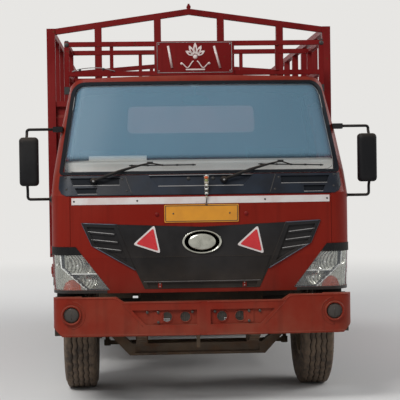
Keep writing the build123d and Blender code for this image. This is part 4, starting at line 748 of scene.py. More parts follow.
# %% [markdown]
# ## The face of the cab
# Over the grille runs a white band with the number plate hanging under it. Band and plate are thin sheets, so
# they could be planes with a Solidify modifier. Closed shapes with an edge of their own are used instead,
# because a buyer looks at them from a step away, and there the edge and the screws are what shows.

# %% Bright finishes for the small things
def flat_coat(name, colour, worn, roughness):
    finish = Finish(name, colour, roughness, 0.0, {"Coat Weight": 0.2})
    patches = finish.step(finish.noise(9.0, 5.0), 0.35, 0.75)
    tone, mask = dusty(finish, finish.mix(patches * 0.6, colour, worn), 1.0, 0.35)
    return finish.finished(tone, patches * 0.2 + mask * 0.2 + roughness, finish.noise(120.0, 2.0), 0.0002)


for name, colour, worn, roughness in (
        ("band_white", seen(214, 208, 204), seen(196, 172, 166), 0.5),
        ("plate_yellow", seen(214, 142, 16), seen(190, 122, 20), 0.4),
        ("reflector_red", seen(198, 22, 32), seen(170, 16, 26), 0.25),
        # grey for nuts, rivets and a rod, and a painted highlight on the pale ridges of the vent panel,
        # grille and windscreen seal
        ("line_grey", seen(150, 148, 146), seen(112, 110, 108), 0.5),
        ("orange_lens", seen(172, 64, 8), seen(126, 44, 8), 0.2),
        # painted shade for the dark flutes inside the headlamps
        ("lamp_shade", seen(92, 90, 78), seen(62, 60, 52), 0.3),
        ("bulb_white", seen(238, 238, 232), seen(210, 208, 200), 0.15),
        ("sign_white", seen(226, 214, 208), seen(200, 176, 170), 0.6),
        ("rubber_knob", seen(22, 22, 22), seen(48, 46, 44), 0.6),
        ("charm_orange", seen(206, 92, 26), seen(170, 66, 22), 0.5),
        # a bluish painted highlight on the rims of the grille's wings
        ("rim_blue", seen(48, 58, 74), seen(84, 96, 112), 0.3),
        ("charm_green", seen(150, 158, 96), seen(112, 116, 70), 0.5),
        ("charm_leaf", seen(196, 186, 164), seen(120, 104, 80), 0.6),
        ("charm_brown", seen(92, 58, 34), seen(140, 104, 70), 0.6)):
    finishes[name] = flat_coat(name, colour, worn, roughness)
print("finishes now:", len(finishes))

# %% Band and number plate
BAND_Z = (1.357, 1.403)
BAND_HALF = 0.872
BAND_LIFT = 0.0025
BAND_SCREWS = (-0.855, -0.43, 0.43, 0.855)
SCREW = ((0, 0.006), (0.005, 0.005), (0.007, 0.002), (0.007, -0.004))
PLATE_HALF = (0.250, 0.060)
PLATE_Z = 1.291
PLATE_MARGIN = 0.006
PLATE_RIM = 0.004
PLATE_SCREWS = (-0.19, 0.19)
PLATE_SCREW = ((0, 0.010), (0.005, 0.009), (0.006, 0.004))
PLATE_BRACKET = (0.235, 0.008, 0.03)
PLUG_X = 0.300
PLUG_DROP = 0.004
PLUG = ((0, 0.010), (0.009, 0.009), (0.014, 0.005), (0.014, -0.004))


def front_band():
    shape = Shape()
    laid_strip(shape, cab_face, BAND_HALF, *BAND_Z, BAND_LIFT, 60)
    for x in BAND_SCREWS:
        shape.lathe(SCREW, 1, on_front(cab_face, x, sum(BAND_Z) / 2), 12)
    return shape.make("front_band", "cab", "band_white", "rubber_knob")


def pressed_border(shape, outer, inner, low, high, turn):
    """A rim that stands proud of a plate, between two outlines."""
    edges = ((outer, low), (outer, high), (inner, high), (inner, low))
    shape.skin([[(a, b, out) for a, b in loop] for loop, out in edges], 1, False, turn, ends=False)


def number_plate():
    shape = Shape()
    y = depth_at(cab_face, PLATE_HALF[0], PLATE_Z) - 0.004
    middle = depth_at(cab_face, 0, PLATE_Z)
    turn = facing_front(0, middle, PLATE_Z)
    shape.prism(rounded(*PLATE_HALF, 0.008), 0.001, 0.006, 0, turn)
    wide, high = (half - PLATE_MARGIN for half in PLATE_HALF)
    inner = rounded(wide - PLATE_RIM, high - PLATE_RIM, 0.005)
    pressed_border(shape, rounded(wide, high, 0.006), inner, 0.005, 0.0078, turn)
    for x in PLATE_SCREWS:
        shape.lathe(PLATE_SCREW, 1, turn @ Matrix.Translation((x, 0, 0)), 12)
    # Brackets behind its ends reach the panel, which curves away
    out, half_wide, half_high = PLATE_BRACKET
    for x in (-out, out):
        shape.box((x - half_wide, middle - 0.001, PLATE_Z - half_high),
                  (x + half_wide, y + 0.02, PLATE_Z + half_high), 2)
    return shape.make("number_plate", "cab", "plate_yellow", "rubber_knob", "chassis_black")


def plate_plugs():
    shape = Shape()
    for x in (-PLUG_X, PLUG_X):
        shape.lathe(PLUG, 0, facing_front(x, depth_at(cab_face, x, PLATE_Z), PLATE_Z - PLUG_DROP), 20)
    return shape.make("plate_plugs", "cab", "cage_maroon")


tell(front_band(), number_plate(), plate_plugs())

# %% [markdown]
# On the grille sit an oval badge with a bright rim and, beside it, two reflecting triangles with a pale
# border. The badge is flat, so its rings can be skinned in one go. The triangles are stickers: they could be
# painted on by a mask in the grille's finish, but a sticker has a thickness that catches light, so each is
# two thin layers laid on the panel, and their outlines have points enough to follow its curve.

# %% Badge and triangles on the grille
BADGE = (0.134, 0.079)
BADGE_Z = 1.100
BADGE_RIMS = (((1.0, -0.004), (1.0, 0.010), (0.97, 0.014), (0.91, 0.012), (0.885, 0.004)),
              ((0.70, 0.004), (0.68, 0.009), (0.5, 0.0115), (0.1, 0.0125)))
BADGE_FIELD = ((0.90, 0.0045), (0.3, 0.0045), (0.02, 0.0045))
TRIANGLES = ((-0.354, 1.110), (0.343, 1.098))
TRIANGLE_TILT = math.radians(18.5)
TRIANGLE_SIDE = 0.195
# Share of the side, corner radius, lift and finish of each layer
TRIANGLE_LAYERS = ((1.0, 0.020, 0.004, 1), (0.80, 0.016, 0.0065, 0))
PANEL_STEP = 0.03


def oval_rings(half_wide, half_high, steps, count):
    """Rings for a skin: copies of an oval, each with its size and its lift."""
    oval = [(a * half_wide, b * half_high) for a, b in circle(1.0, count)]
    return scaled(oval, [(size, size, out) for size, out in steps])


def grille_badge():
    shape = Shape()
    turn = on_front(cab_face, 0, BADGE_Z)
    for steps in BADGE_RIMS:
        shape.skin(oval_rings(*BADGE, steps, 48), 0, True, turn)
    shape.skin(oval_rings(*BADGE, BADGE_FIELD, 48), 1, False, turn)
    return shape.make("grille_badge", "cab", "lamp_silver", "grille_black")


def corners_of(centre_x, centre_z, side):
    """A triangle stuck on a little askew, its top corner leaning to the truck's left."""
    reach = side / math.sqrt(3)
    angles = [math.tau * k / 3 + TRIANGLE_TILT for k in range(3)]
    return [(centre_x + reach * math.sin(a), centre_z + reach * math.cos(a)) for a in angles]


def softened(corners, radius):
    """A flat outline with its corners rounded."""
    loop = [Vector((x, z)) for x, z in corners]
    out = []
    for i, corner in enumerate(loop):
        before, after = loop[i - 1], loop[(i + 1) % len(loop)]
        start = corner + (before - corner).normalized() * radius
        end = corner + (after - corner).normalized() * radius
        out += [tuple(point) for point in at_bend(start, corner, end, 4)]
    return out


def dense(outline, step):
    """The same outline with points no further apart than step, so that it can follow a curved panel."""
    out = []
    for (ax, az), (bx, bz) in zip(outline, outline[1:] + outline[:1]):
        count = max(1, math.ceil(math.hypot(bx - ax, bz - az) / step))
        out += [(ax + (bx - ax) * k / count, az + (bz - az) * k / count) for k in range(count)]
    return out


def triangles():
    shape = Shape()
    for x, z in TRIANGLES:
        for share, corner, lift, slot in TRIANGLE_LAYERS:
            outline = dense(softened(corners_of(x, z, TRIANGLE_SIDE * share), corner), PANEL_STEP)
            laid(shape, cab_face, outline, lift, slot, 3)
    return shape.make("warning_triangles", "cab", "reflector_red", "band_white")


tell(grille_badge(), triangles())

# %% [markdown]
# ## Headlamps
# Each lamp is a clear lens over a silver inside, with two reflectors, an orange indicator low at its outer
# side and a slanted rib between them. Bowls could be modelled one by one, but then they leave gaps along the
# slanted rim. So the inside is a height field: rays go out from a point in the lamp to the lens, and the
# silver skin stands back from where they meet it by a depth that one function gives. It also gives the
# finish there, and some of that is painted light: shade in the dark flutes, shadow beside the rib, under
# the shelf and at the foot, and a highlight along the rib and the shelf.

# %% Depth of the silver skin behind the lens
# The dark finish is painted shadow, the shaded one painted shade in the flutes, and the pale rib a painted
# highlight.
SILVER, ORANGE, PAINTED_SHADOW, HIGHLIGHT, SHADED = range(5)
RIB = ((0.955, 1.02), (0.949, 0.933), (0.890, 0.882), (0.780, 0.783))
RIB_HALF = 0.006
RIB_SHADOW = 0.016
SHELF_Z = 0.890
SHELF_HALF = 0.004
SHELF_CORNER = (0.044, 0.028)
RIB_GAP, SHELF_GAP, FOOT_GAP, SHADOW_GAP, CORNER_GAP = 0.002, 0.003, 0.012, 0.014, 0.016
# A bowl has its centre's X and Z, its radius and its depth
UPPER_BOWL = (0.839, 0.946, 0.085, 0.060)
LOWER_BOWL = (0.757, 0.844, 0.056, 0.050)
MARKER = (0.975, 0.953, 0.024, 0.012)
INDICATOR = (0.880, 0.783, 0.061, 0.067)
# Upright flutes: waves per metre times tau, and how low a wave is where it goes dark with painted shade
FLUTE_WAVES = 430
INDICATOR_WAVES = 900
FLUTE_DARK = -0.25
MARKER_DARK = -0.8
DARK_FOOT = 0.79


def rib_x(z):
    """Where the rib between indicator and reflectors stands, at a height."""
    for (xa, za), (xb, zb) in zip(RIB, RIB[1:]):
        if z >= zb:
            return xb + (xa - xb) * (z - zb) / (za - zb)
    return RIB[-1][0]


def bowl(x, z, centre_x, centre_z, radius, deep):
    far = math.hypot(x - centre_x, z - centre_z) / radius
    return deep * max(0.0, 1.0 - far * far)


def outside_rib(x, z, flute):
    """The indicator low down, and over it the field with the marker lamp."""
    across, up, half_wide, half_high = INDICATOR
    if ((x - across) / half_wide) ** 2 + ((z - up) / half_high) ** 2 < 1:
        return 0.010 + 0.0015 * math.sin(x * INDICATOR_WAVES), ORANGE
    return 0.009 + bowl(x, z, *MARKER) + 0.0012 * flute, SHADED if flute < MARKER_DARK else SILVER


def lamp_gap(x, z):
    """How far the skin stands behind the lens at a place, and its finish there. Some finishes are painted
    light: shade, shadow and highlight.
    """
    to_rib = x - rib_x(z)
    flute = math.sin(x * FLUTE_WAVES)
    # The pale rib and the pale shelf line are painted highlights.
    if abs(to_rib) < RIB_HALF:
        return RIB_GAP, HIGHLIGHT
    if to_rib > 0:
        return outside_rib(x, z, flute)
    if to_rib > -RIB_SHADOW:
        return SHADOW_GAP, PAINTED_SHADOW
    if abs(z - SHELF_Z) < SHELF_HALF:
        return SHELF_GAP, HIGHLIGHT
    if z > SHELF_Z:
        return 0.012 + bowl(x, z, *UPPER_BOWL) + 0.002 * flute, SHADED if flute < -FLUTE_DARK else SILVER
    if to_rib > -SHELF_CORNER[0] and z > SHELF_Z - SHELF_CORNER[1]:
        return CORNER_GAP, PAINTED_SHADOW
    deep = bowl(x, z, *LOWER_BOWL)
    if deep > 0.004:
        return 0.006 + deep, SHADED if flute < FLUTE_DARK else SILVER
    return FOOT_GAP, PAINTED_SHADOW if z < DARK_FOOT else SHADED


print("behind the middle of the upper reflector:", round(lamp_gap(*UPPER_BOWL[:2])[0], 3))

# %% The skin, the bulbs, and the black strips of painted shadow under the lamps
LAMP_LOW, LAMP_HIGH = 0.783, 1.019
LAMP_IN_LOW, LAMP_IN_HIGH = 0.624, 0.806
LAMP_MIDDLE = (0.600, 0.326)
LAMP_GRID = (120, 60)
LAMP_CAP = 1.0202
BULBS = ((UPPER_BOWL, 0.010, 0.060), (LOWER_BOWL, 0.009, 0.046), (MARKER, 0.006, 0.016))
FOOT_MIDDLE = (0.640, 0.360)
FOOT_RIM = ((0.7605, -0.004), (0.7605, 0.003), (0.7815, 0.003), (0.7815, -0.004))
FOOT_SWEEP = 92.0
FOOT_STEPS = 28


def lamp_row(lens, side, z):
    """One row of the skin from the lamp's inner rim to its outer end, and the finish of each point."""
    columns = LAMP_GRID[0]
    middle = Vector((side * LAMP_MIDDLE[0], FRONT + LAMP_MIDDLE[1], z))
    x_in = LAMP_IN_LOW + (LAMP_IN_HIGH - LAMP_IN_LOW) * (z - LAMP_LOW) / (LAMP_HIGH - LAMP_LOW)
    start = math.atan2(middle.y - depth_at(lens, side * x_in, z), x_in - abs(middle.x))
    row, finish_row = [], []
    for c in range(columns + 1):
        angle = start * (1 - c / columns)
        way = Vector((side * math.cos(angle), -math.sin(angle), 0))
        hit = lens.ray_cast(middle, way)[0] or row[-1]
        gap, finish = lamp_gap(abs(hit.x), z)
        row.append(hit - way * gap)
        finish_row.append(finish)
    return row, finish_row


def lamp_skin(shape, lens, side):
    columns, rows = LAMP_GRID
    grid = [lamp_row(lens, side, LAMP_LOW + (LAMP_HIGH - LAMP_LOW) * r / rows) for r in range(rows + 1)]
    for (below, kinds), above in zip(grid, [row[0] for row in grid[1:]]):
        for c in range(columns):
            shape.add([below[c], below[c + 1], above[c + 1], above[c]], [(0, 1, 2, 3)], kinds[c])


def lamp_bulbs(shape, side, lens):
    for spot, size, back in BULBS:
        x, z = spot[:2]
        profile = [(0, 0.030), (size * 0.6, 0.027), (size, 0.018), (size, 0),
                   (size * 1.5, -0.004), (size * 1.5, -0.012)]
        shape.lathe(profile, 3, facing_front(side * x, depth_at(lens, side * x, z) + back, z), 16)


def headlamps():
    shape = Shape()
    lens = surface_of("headlamp_lenses")
    for side in (1, -1):
        lamp_skin(shape, lens, side)
        lamp_bulbs(shape, side, lens)
    # The black caps over the lamps are taken over from the part as they are
    mesh = nodes["headlamp_bowls"].data
    for polygon in mesh.polygons:
        corners = [mesh.vertices[index].co for index in polygon.vertices]
        if min(corner.z for corner in corners) > LAMP_CAP:
            shape.add(corners, [tuple(range(len(corners)))], 2)
    piece = shape.make("headlamp_insides", "cab", "lamp_silver", "orange_lens", "black_plastic",
                       "bulb_white", "lamp_shade")
    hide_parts("headlamp_bowls")
    return piece


def lamp_feet():
    """A black strip under each lamp, down to the lower edge of the cab, and round its corner: painted shadow
    under the lamp.
    """
    shape = Shape()
    x, depth = FOOT_MIDDLE
    for side in (1, -1):
        rings = []
        for k in range(FOOT_STEPS + 1):
            angle = math.radians(FOOT_SWEEP * k / FOOT_STEPS)
            way = Vector((side * math.sin(angle), -math.cos(angle), 0))
            ring = []
            for z, lift in FOOT_RIM:
                start = Vector((side * x, FRONT + depth, z)) + way * FAR
                hit = cab_face.ray_cast(start, -way)[0] or start
                ring.append(hit + way * lift)
            rings.append(ring)
        shape.skin(rings, 0, False)
    return shape.make("lamp_feet", "cab", "rubber_knob")


tell(headlamps(), lamp_feet())

# %% [markdown]
# ## Lines, screws and plugs on the front
# Thin raised lines run over the vent panel, grille and bumper. A bump in the finish would show them from
# ahead, but not in outline. So each is a tube half sunk into its panel, and one helper lays them all. On the
# vent panel and the grille most are pale grey: a painted highlight along the raised edges.

# %% A raised line or a screw on a surface
RIDGE_SINK = 0.35


def ridge(shape, surface, path, radius, slot=0, step=0.02):
    """A round line through points of X and Z, laid on a surface and sunk into it by part of its radius."""
    points = []
    for (ax, az), (bx, bz) in zip(path, path[1:]):
        count = max(1, math.ceil(math.hypot(bx - ax, bz - az) / step))
        for k in range(count + (1 if (bx, bz) == path[-1] else 0)):
            x, z = ax + (bx - ax) * k / count, az + (bz - az) * k / count
            points.append((x, depth_at(surface, x, z) + radius * RIDGE_SINK, z))
    shape.tube(points, radius, slot, 8)


def stud(shape, x, z, radius, high, slot):
    """A domed screw or plug on the cab's front."""
    profile = [(0, high), (radius * 0.6, high * 0.92), (radius * 0.92, high * 0.6), (radius, 0),
               (radius, -0.004)]
    shape.lathe(profile, slot, on_front(cab_face, x, z), 16)


def mirrored(path, side):
    return [(side * x, z) for x, z in path]


print("a tube on the grille sinks in by", RIDGE_SINK, "of its radius")

# %% Vent panel under the windscreen
VENT_LIPS = ((1.4285, 0.698, 0.830), (1.4865, 0.545, 0.862))
# A dark sheet in each vent opening is painted shade: its low and high Z, inner X, and outer X low and high
VENT_SHADOWS = ((1.434, 1.466, 0.704, 0.828, 0.845), (1.492, 1.530, 0.551, 0.860, 0.874))
VENT_SEAM = ((0.465, 1.421), (0.512, 1.556))
VENT_SCREWS = ((0.912, 1.540), (0.905, 1.462), (0.530, 1.525), (0.500, 1.446))
NOZZLE = (0.083, 1.524, 0.013, 0.010)
# Half length, height and radius of the two lines across the middle
COWL_LINES = ((0.288, 1.476, 0.003), (0.350, 1.5495, 0.0022))


def level_line(shape, half, z, radius, slot):
    ridge(shape, cab_face, [(-half, z), (half, z)], radius, slot)


def cowl_trim():
    shape = Shape()
    for side in (1, -1):
        # The pale ridges on the vent lips and across the middle are painted highlights along raised edges.
        for z, x0, x1 in VENT_LIPS:
            ridge(shape, cab_face, mirrored([(x0, z), (x1, z)], side), 0.0026)
        # Dark sheets in the vent openings: painted shade.
        for low, high, inner, outer_low, outer_high in VENT_SHADOWS:
            outline = mirrored([(inner, low), (outer_low, low), (outer_high, high), (inner, high)], side)
            laid(shape, cab_face, dense(outline[::side], PANEL_STEP), 0.001, 2, 2)
        ridge(shape, cab_face, mirrored(VENT_SEAM, side), 0.0028, 1)
        for x, z in VENT_SCREWS:
            stud(shape, side * x, z, 0.008, 0.004, 1)
        stud(shape, side * NOZZLE[0], *NOZZLE[1:], 1)
    for line in COWL_LINES:
        level_line(shape, *line, 0)
    return shape.make("cowl_trim", "cab", "line_grey", "rubber_knob", "seal_rubber")


tell(cowl_trim())

# %% [markdown]
# The grille has a raised wing on each side with three slanted bars, and a red bracket in its low slot. The
# bars could be curves with a bevel. Ridges are used again, since they follow the bowed panel by themselves.

# %% Ridges and brackets of the grille
WING_BARS = ((0.588, 1.160, 0.764, 1.179), (0.566, 1.106, 0.741, 1.125), (0.543, 1.050, 0.715, 1.072))
WING_INNER_EDGE = ((0.566, 1.214), (0.452, 0.926))
WING_RIM = ((0.566, 1.222), (0.806, 1.233), (0.739, 1.083), (0.450, 0.916))
BAR_DROP = 0.001
BRACKET = (0.285, 0.811)
BRACKET_HALF = (0.013, 0.020)
BRACKET_SCREW = ((0, 0.012), (0.004, 0.011), (0.005, 0.007))
MIDDLE_LINE = (0.450, 1.002, 0.0022)
FOOT_LINE = (0.395, 0.836, 0.0026)


def red_bracket(shape, x, z):
    y = depth_at(cab_face, x, z)
    wide, high = BRACKET_HALF
    shape.box((x - wide, y - 0.008, z - high), (x + wide, y + 0.001, z + high), 2)
    for dz in (-0.009, 0.009):
        shape.lathe(BRACKET_SCREW, 0, facing_front(x, y, z + dz), 10)


def grille_trim():
    shape = Shape()
    for side in (1, -1):
        # The pale wing bars and the foot line are painted highlights on raised bars.
        for x0, z0, x1, z1 in WING_BARS:
            ridge(shape, cab_face, mirrored([(x0, z0 - BAR_DROP), (x1, z1 - BAR_DROP)], side), 0.003)
        ridge(shape, cab_face, mirrored(WING_INNER_EDGE, side), 0.004, 1)
        # The wing's rim takes a bluish painted highlight.
        ridge(shape, cab_face, mirrored(WING_RIM, side), 0.0035, 3)
        red_bracket(shape, side * BRACKET[0], BRACKET[1])
    level_line(shape, *MIDDLE_LINE, 1)
    level_line(shape, *FOOT_LINE, 0)
    return shape.make("grille_trim", "cab", "line_grey", "grille_black", "cab_red", "rim_blue")


tell(grille_trim())

# %% [markdown]
# A painted highlight runs round inside the rubber seal of the windscreen, as a pale line on its lip. An inset
# of the seal's faces could give it, but the seal is a solid that stays as it is. So a ridge is laid along a
# rounded outline, closed on itself.

# %% A painted highlight on the inside of the windscreen's seal
LIP_INSET = 0.031
LIP_CORNER = 0.075
LIP_RADIUS = 0.0022
LIP_FOOT = 0.72
SCREEN_SIDE = ((0.961, 1.557), (0.868, 2.203))


def screen_lip():
    shape = Shape()
    (x0, z0), (x1, z1) = SCREEN_SIDE
    lean = (x1 - x0) / (z1 - z0)
    low, high = z0 + LIP_INSET * LIP_FOOT, z1 - LIP_INSET
    half_low, half_high = (x0 + lean * (z - z0) - LIP_INSET for z in (low, high))
    corners = [(-half_low, low), (half_low, low), (half_high, high), (-half_high, high)]
    outline = dense(softened(corners, LIP_CORNER), PANEL_STEP)
    ridge(shape, cab_face, outline + [outline[0]], LIP_RADIUS, 0, PANEL_STEP)
    return shape.make("screen_lip", "cab", "line_grey")


tell(screen_lip())

# %% [markdown]
# The bumper is one pressed sheet with folds, a round plug where a fog lamp could go, and two round holes with
# slatted covers. The pressing itself is in the solid. Its folds are ridges again, and the round pieces are
# turned from a few points, as on a lathe, which gives clean circles with few faces.

# %% Folds, plugs and bolts of the bumper
BUMPER_FOLDS = ((((0.552, 0.705), (0.405, 0.548)), 0.003),
                (((0.985, 0.737), (0.60, 0.737), (0.57, 0.730), (0.545, 0.704), (0.02, 0.703)), 0.005),
                (((0.94, 0.496), (0.02, 0.490)), 0.005))
FOG = (0.877, 0.629)
FOG_BACK = 0.026
FOG_ARC = (0.090, 95, 270)
FOG_RIM = ((0.068, 0.004), (0.066, 0.014), (0.060, 0.018), (0.055, 0.014), (0.053, 0.002))
FOG_PLUG = ((0, 0.010), (0.030, 0.009), (0.046, 0.006), (0.0505, 0.001), (0.0505, -0.004))
POCKET_BACK = 0.020
POCKET_PLATE = (0.30, 0.034, 0.566, 0.646)
POCKET_BOLTS = ((0.375, 0.640), (0.302, 0.640), (0.302, 0.574), (0.075, 0.640))
POCKET_BOLT = ((0, 0.010), (0.009, 0.010), (0.010, 0.008), (0.010, -0.001))
HOLES = (0.122, 0.244)
HOLE_Z = 0.608
HOLE_RADIUS = 0.034
HOLE_RIM = ((0.006, 0), (0.005, 0.006), (0, 0.007), (-0.001, -0.010))
# Number to each side, pitch and half width of the level slats, then of the upright ones
SLATS = (3, 0.009, 0.0015)
STAYS = (2, 0.012, 0.001)


def arc_path(x, z, radius, start, end):
    angles = [math.radians(start + (end - start) * k / 16) for k in range(17)]
    return [(x + radius * math.cos(angle), z + radius * math.sin(angle)) for angle in angles]


def fog_plug(shape, side):
    x, y, z = side * FOG[0], FRONT + FOG_BACK, FOG[1]
    turn = facing_front(x, y, z)
    shape.lathe(FOG_RIM, 0, turn, 40)
    shape.lathe(FOG_PLUG, 1, turn, 40)
    shape.tube([(x, y - 0.0095, z + 0.03), (x, y - 0.0095, z - 0.03)], 0.0025, 1)


def pocket(shape, side, back):
    """An inner plate in the bumper's pocket, with its bolts."""
    x, half, low, high = POCKET_PLATE
    shape.box((side * x - half, back - 0.004, low), (side * x + half, back + 0.001, high), 0)
    for x, z in POCKET_BOLTS:
        shape.lathe(POCKET_BOLT, 1, facing_front(side * x, back - 0.003, z), 6)


def slatted_hole(shape, turn):
    shape.lathe([(HOLE_RADIUS + more, out) for more, out in HOLE_RIM], 0, turn, 32)
    count, pitch, half = SLATS
    for k in range(-count, count + 1):
        reach = math.sqrt(HOLE_RADIUS ** 2 - (k * pitch) ** 2)
        shape.box((-reach, k * pitch - half, -0.008), (reach, k * pitch + half, -0.004), 1, turn)
    count, pitch, half = STAYS
    for k in range(-count, count + 1):
        reach = math.sqrt(HOLE_RADIUS ** 2 - (k * pitch) ** 2)
        shape.box((k * pitch - half, -reach, -0.0095), (k * pitch + half, reach, -0.0075), 1, turn)


def bumper_trim():
    shape = Shape()
    back = FRONT + POCKET_BACK
    for side in (1, -1):
        for path, radius in BUMPER_FOLDS:
            ridge(shape, bumper_face, mirrored(path, side), radius)
        ridge(shape, bumper_face, mirrored(arc_path(*FOG, *FOG_ARC), side), 0.0045)
        fog_plug(shape, side)
        pocket(shape, side, back)
        for x in HOLES:
            slatted_hole(shape, facing_front(side * x, back, HOLE_Z))
    return shape.make("bumper_trim", "chassis", "bumper_red", "rubber_knob")


tell(bumper_trim())

# %% [markdown]
# ## Wipers and the charm
# Each wiper is a capped pivot, an arm that swells and thins along its length, a spring knuckle, a bowed
# bridge with claws, and a rubber blade on the glass. Swept curves with a bevel would give arms of one
# section. Rings of points give each place its own width, and rays keep the whole of it over the bent glass.

# %% Two wipers on the windscreen
# For each wiper: pivot, knuckle, and both ends of the blade
WIPER_SPOTS = (((-0.723, 1.515), (-0.340, 1.634), (-0.482, 1.618), (-0.030, 1.618)),
               ((0.156, 1.515), (0.548, 1.636), (0.396, 1.618), (0.844, 1.606)))
GLASS_CLEAR = 0.006
PIVOT_CAP = ((0, 0.044), (0.010, 0.043), (0.016, 0.038), (0.018, 0.028), (0.018, 0.012),
             (0.023, 0.006), (0.024, -0.004))
PIVOT_NUT = ((0, 0.050), (0.005, 0.049), (0.007, 0.044))
ARM_STEPS, ARM_WIDEST = 14, 0.45
ARM_SECTION = ((-1, -0.6), (-1, 0.6), (-0.2, 1), (1, 0.8), (1, -0.8), (-0.2, -1))
BLADE_STEPS = 18
RUBBER_SECTION = ((0.004, -0.0015), (-0.007, -0.004), (-0.007, 0.004), (0.004, 0.0015))
BRIDGE_SECTION = ((0.002, -0.003), (-0.002, -0.003), (-0.002, 0.003), (0.002, 0.003))
BRIDGE_BOW = 0.011
CLAWS = (0.04, 0.28, 0.50, 0.72, 0.96)


def over_glass(x, z, lift):
    return Vector((x, depth_at(cab_face, x, z) - lift, z))


def part_way(start, end, part):
    return [a + (b - a) * part for a, b in zip(start, end)]


def wiper_arm(shape, pivot, knuckle):
    """A flat arm as a skin through six-cornered sections that get narrower and thinner."""
    rings = []
    for k in range(ARM_STEPS + 1):
        part = k / ARM_STEPS
        x, z = part_way(pivot, knuckle, part)
        bow = math.sin(math.pi * part)
        centre = over_glass(x, z + 0.010 * bow, 0.030 + 0.004 * bow)
        half = 0.011 if part < ARM_WIDEST else 0.011 - 0.006 * (part - ARM_WIDEST) / (1 - ARM_WIDEST)
        thick = 0.006 - 0.003 * part
        rings.append([centre + Vector((0, a * thick, b * half)) for a, b in ARM_SECTION])
    shape.skin(rings)


def wiper_blade(shape, start, end):
    rubber, bridge = [], []
    for k in range(BLADE_STEPS + 1):
        part = k / BLADE_STEPS
        foot = over_glass(*part_way(start, end, part), GLASS_CLEAR)
        rise = 0.010 + BRIDGE_BOW * math.sin(math.pi * part)
        rubber.append([foot + Vector((0, a, b)) for a, b in RUBBER_SECTION])
        bridge.append([foot + Vector((0, -rise + a, b)) for a, b in BRIDGE_SECTION])
    shape.skin(rubber, 1, False)
    shape.skin(bridge, 0, False)
    for part in CLAWS:
        foot = over_glass(*part_way(start, end, part), GLASS_CLEAR)
        rise = 0.012 + BRIDGE_BOW * math.sin(math.pi * part)
        shape.box(foot + Vector((-0.006, -rise, -0.006)), foot + Vector((0.006, -0.004, 0.006)), 0)


def wipers():
    shape = Shape()
    for pivot, knuckle, start, end in WIPER_SPOTS:
        turn = on_front(cab_face, *pivot)
        shape.lathe(PIVOT_CAP, 0, turn, 24)
        shape.lathe(PIVOT_NUT, 2, turn, 6)
        wiper_arm(shape, pivot, knuckle)
        wiper_blade(shape, start, end)
        # The knuckle's block, and the rod from it to the middle of the bridge
        block = over_glass(*knuckle, 0.026)
        bridge = over_glass((start[0] + end[0]) / 2, (start[1] + end[1]) / 2, 0.026)
        shape.tube([over_glass(*knuckle, 0.030), block.lerp(bridge, 0.5), bridge], 0.0045, 0, 8)
        shape.box(block - Vector((0.020, 0.008, 0.008)), block + Vector((0.020, 0.006, 0.008)), 0)
    piece = shape.make("wiper_arms", "cab", "black_plastic", "rubber_knob", "line_grey")
    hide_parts("wipers")
    return piece


tell(wipers())

# %% [markdown]
# Under the middle of the windscreen hangs a short string of beads and dried fruit, as drivers hang them
# against bad luck. It could be a simulated cord, but it is short and stiff, so its beads are ovals turned
# about an upright line, one on top of the other, and every one touches the next.

# %% The charm: its beads, leaves, cord and hook
CHARM_X = 0.035
CHARM_OFF = 0.012
# Height, half width, half height and finish of each bead
CHARM = ((1.544, 0.009, 0.006, 1), (1.530, 0.014, 0.010, 0), (1.512, 0.011, 0.009, 2),
         (1.496, 0.012, 0.009, 3), (1.480, 0.010, 0.008, 1), (1.466, 0.008, 0.007, 4),
         (1.453, 0.010, 0.007, 1), (1.440, 0.008, 0.007, 4), (1.427, 0.010, 0.007, 1),
         (1.414, 0.008, 0.007, 4), (1.401, 0.009, 0.007, 3))
LEAVES = 10
LEAF_TOP, LEAF_PITCH = 1.533, 0.0132
CORD_FOOT = ((0, 0, 1.396), (-0.001, 0, 1.372), (-0.003, 0.001, 1.358))
TASSEL = (-0.003, 0.001, 1.353)
HOOK_TOP, HOOK_END = 1.549, 1.552


def bead(shape, x, y, z, wide, high, slot):
    angles = [math.pi * k / 8 for k in range(9)]
    profile = [(wide * math.sin(angle), -high * math.cos(angle)) for angle in angles]
    shape.lathe(profile, slot, Matrix.Translation((x, y, z)), 14)


def charm():
    shape = Shape()
    y = min(depth_at(cab_face, CHARM_X, row[0]) for row in CHARM) - CHARM_OFF
    for row in CHARM:
        bead(shape, CHARM_X, y, *row)
    # Knots of leaves stick out to both sides between the beads
    for k in range(LEAVES):
        z = LEAF_TOP - LEAF_PITCH * k
        for side in (-1, 1):
            tip = Vector((CHARM_X + side * (0.017 - 0.0006 * k), y - 0.004, z + 0.008))
            root = Vector((CHARM_X + side * 0.004, y, z))
            knot = root.lerp(tip, 0.6) + Vector((0, 0, 0.001))
            shape.tube([root, knot, tip], 0.0020, 3 if k % 3 else 1, 6)
    shape.tube([(CHARM_X + dx, y + dy, z) for dx, dy, z in CORD_FOOT], 0.0030, 4, 8)
    bead(shape, CHARM_X + TASSEL[0], y + TASSEL[1], TASSEL[2], 0.009, 0.008, 5)
    # The wire hook at its top goes to the vent panel
    top = Vector((CHARM_X, y, HOOK_TOP))
    end = Vector((CHARM_X, depth_at(cab_face, CHARM_X, HOOK_END) + 0.003, HOOK_END))
    shape.tube([top, top + Vector((0, 0.004, 0.005)), end], 0.0016, 4, 6)
    return shape.make("lucky_charm", "cab", "charm_orange", "bulb_white", "charm_green", "charm_leaf",
                      "rubber_knob", "charm_brown")


tell(charm())

# %% [markdown]
# ## Tyres and wheels
# The tread has four zigzag grooves, and at each tooth the shoulder has a notch. Grooves could be cut with
# Boolean modifiers, which takes long and leaves ragged faces. So a tyre is a grid of points that runs round
# the wheel, and its columns follow the edges of the grooves and the rings of the sidewall, which stay sharp.

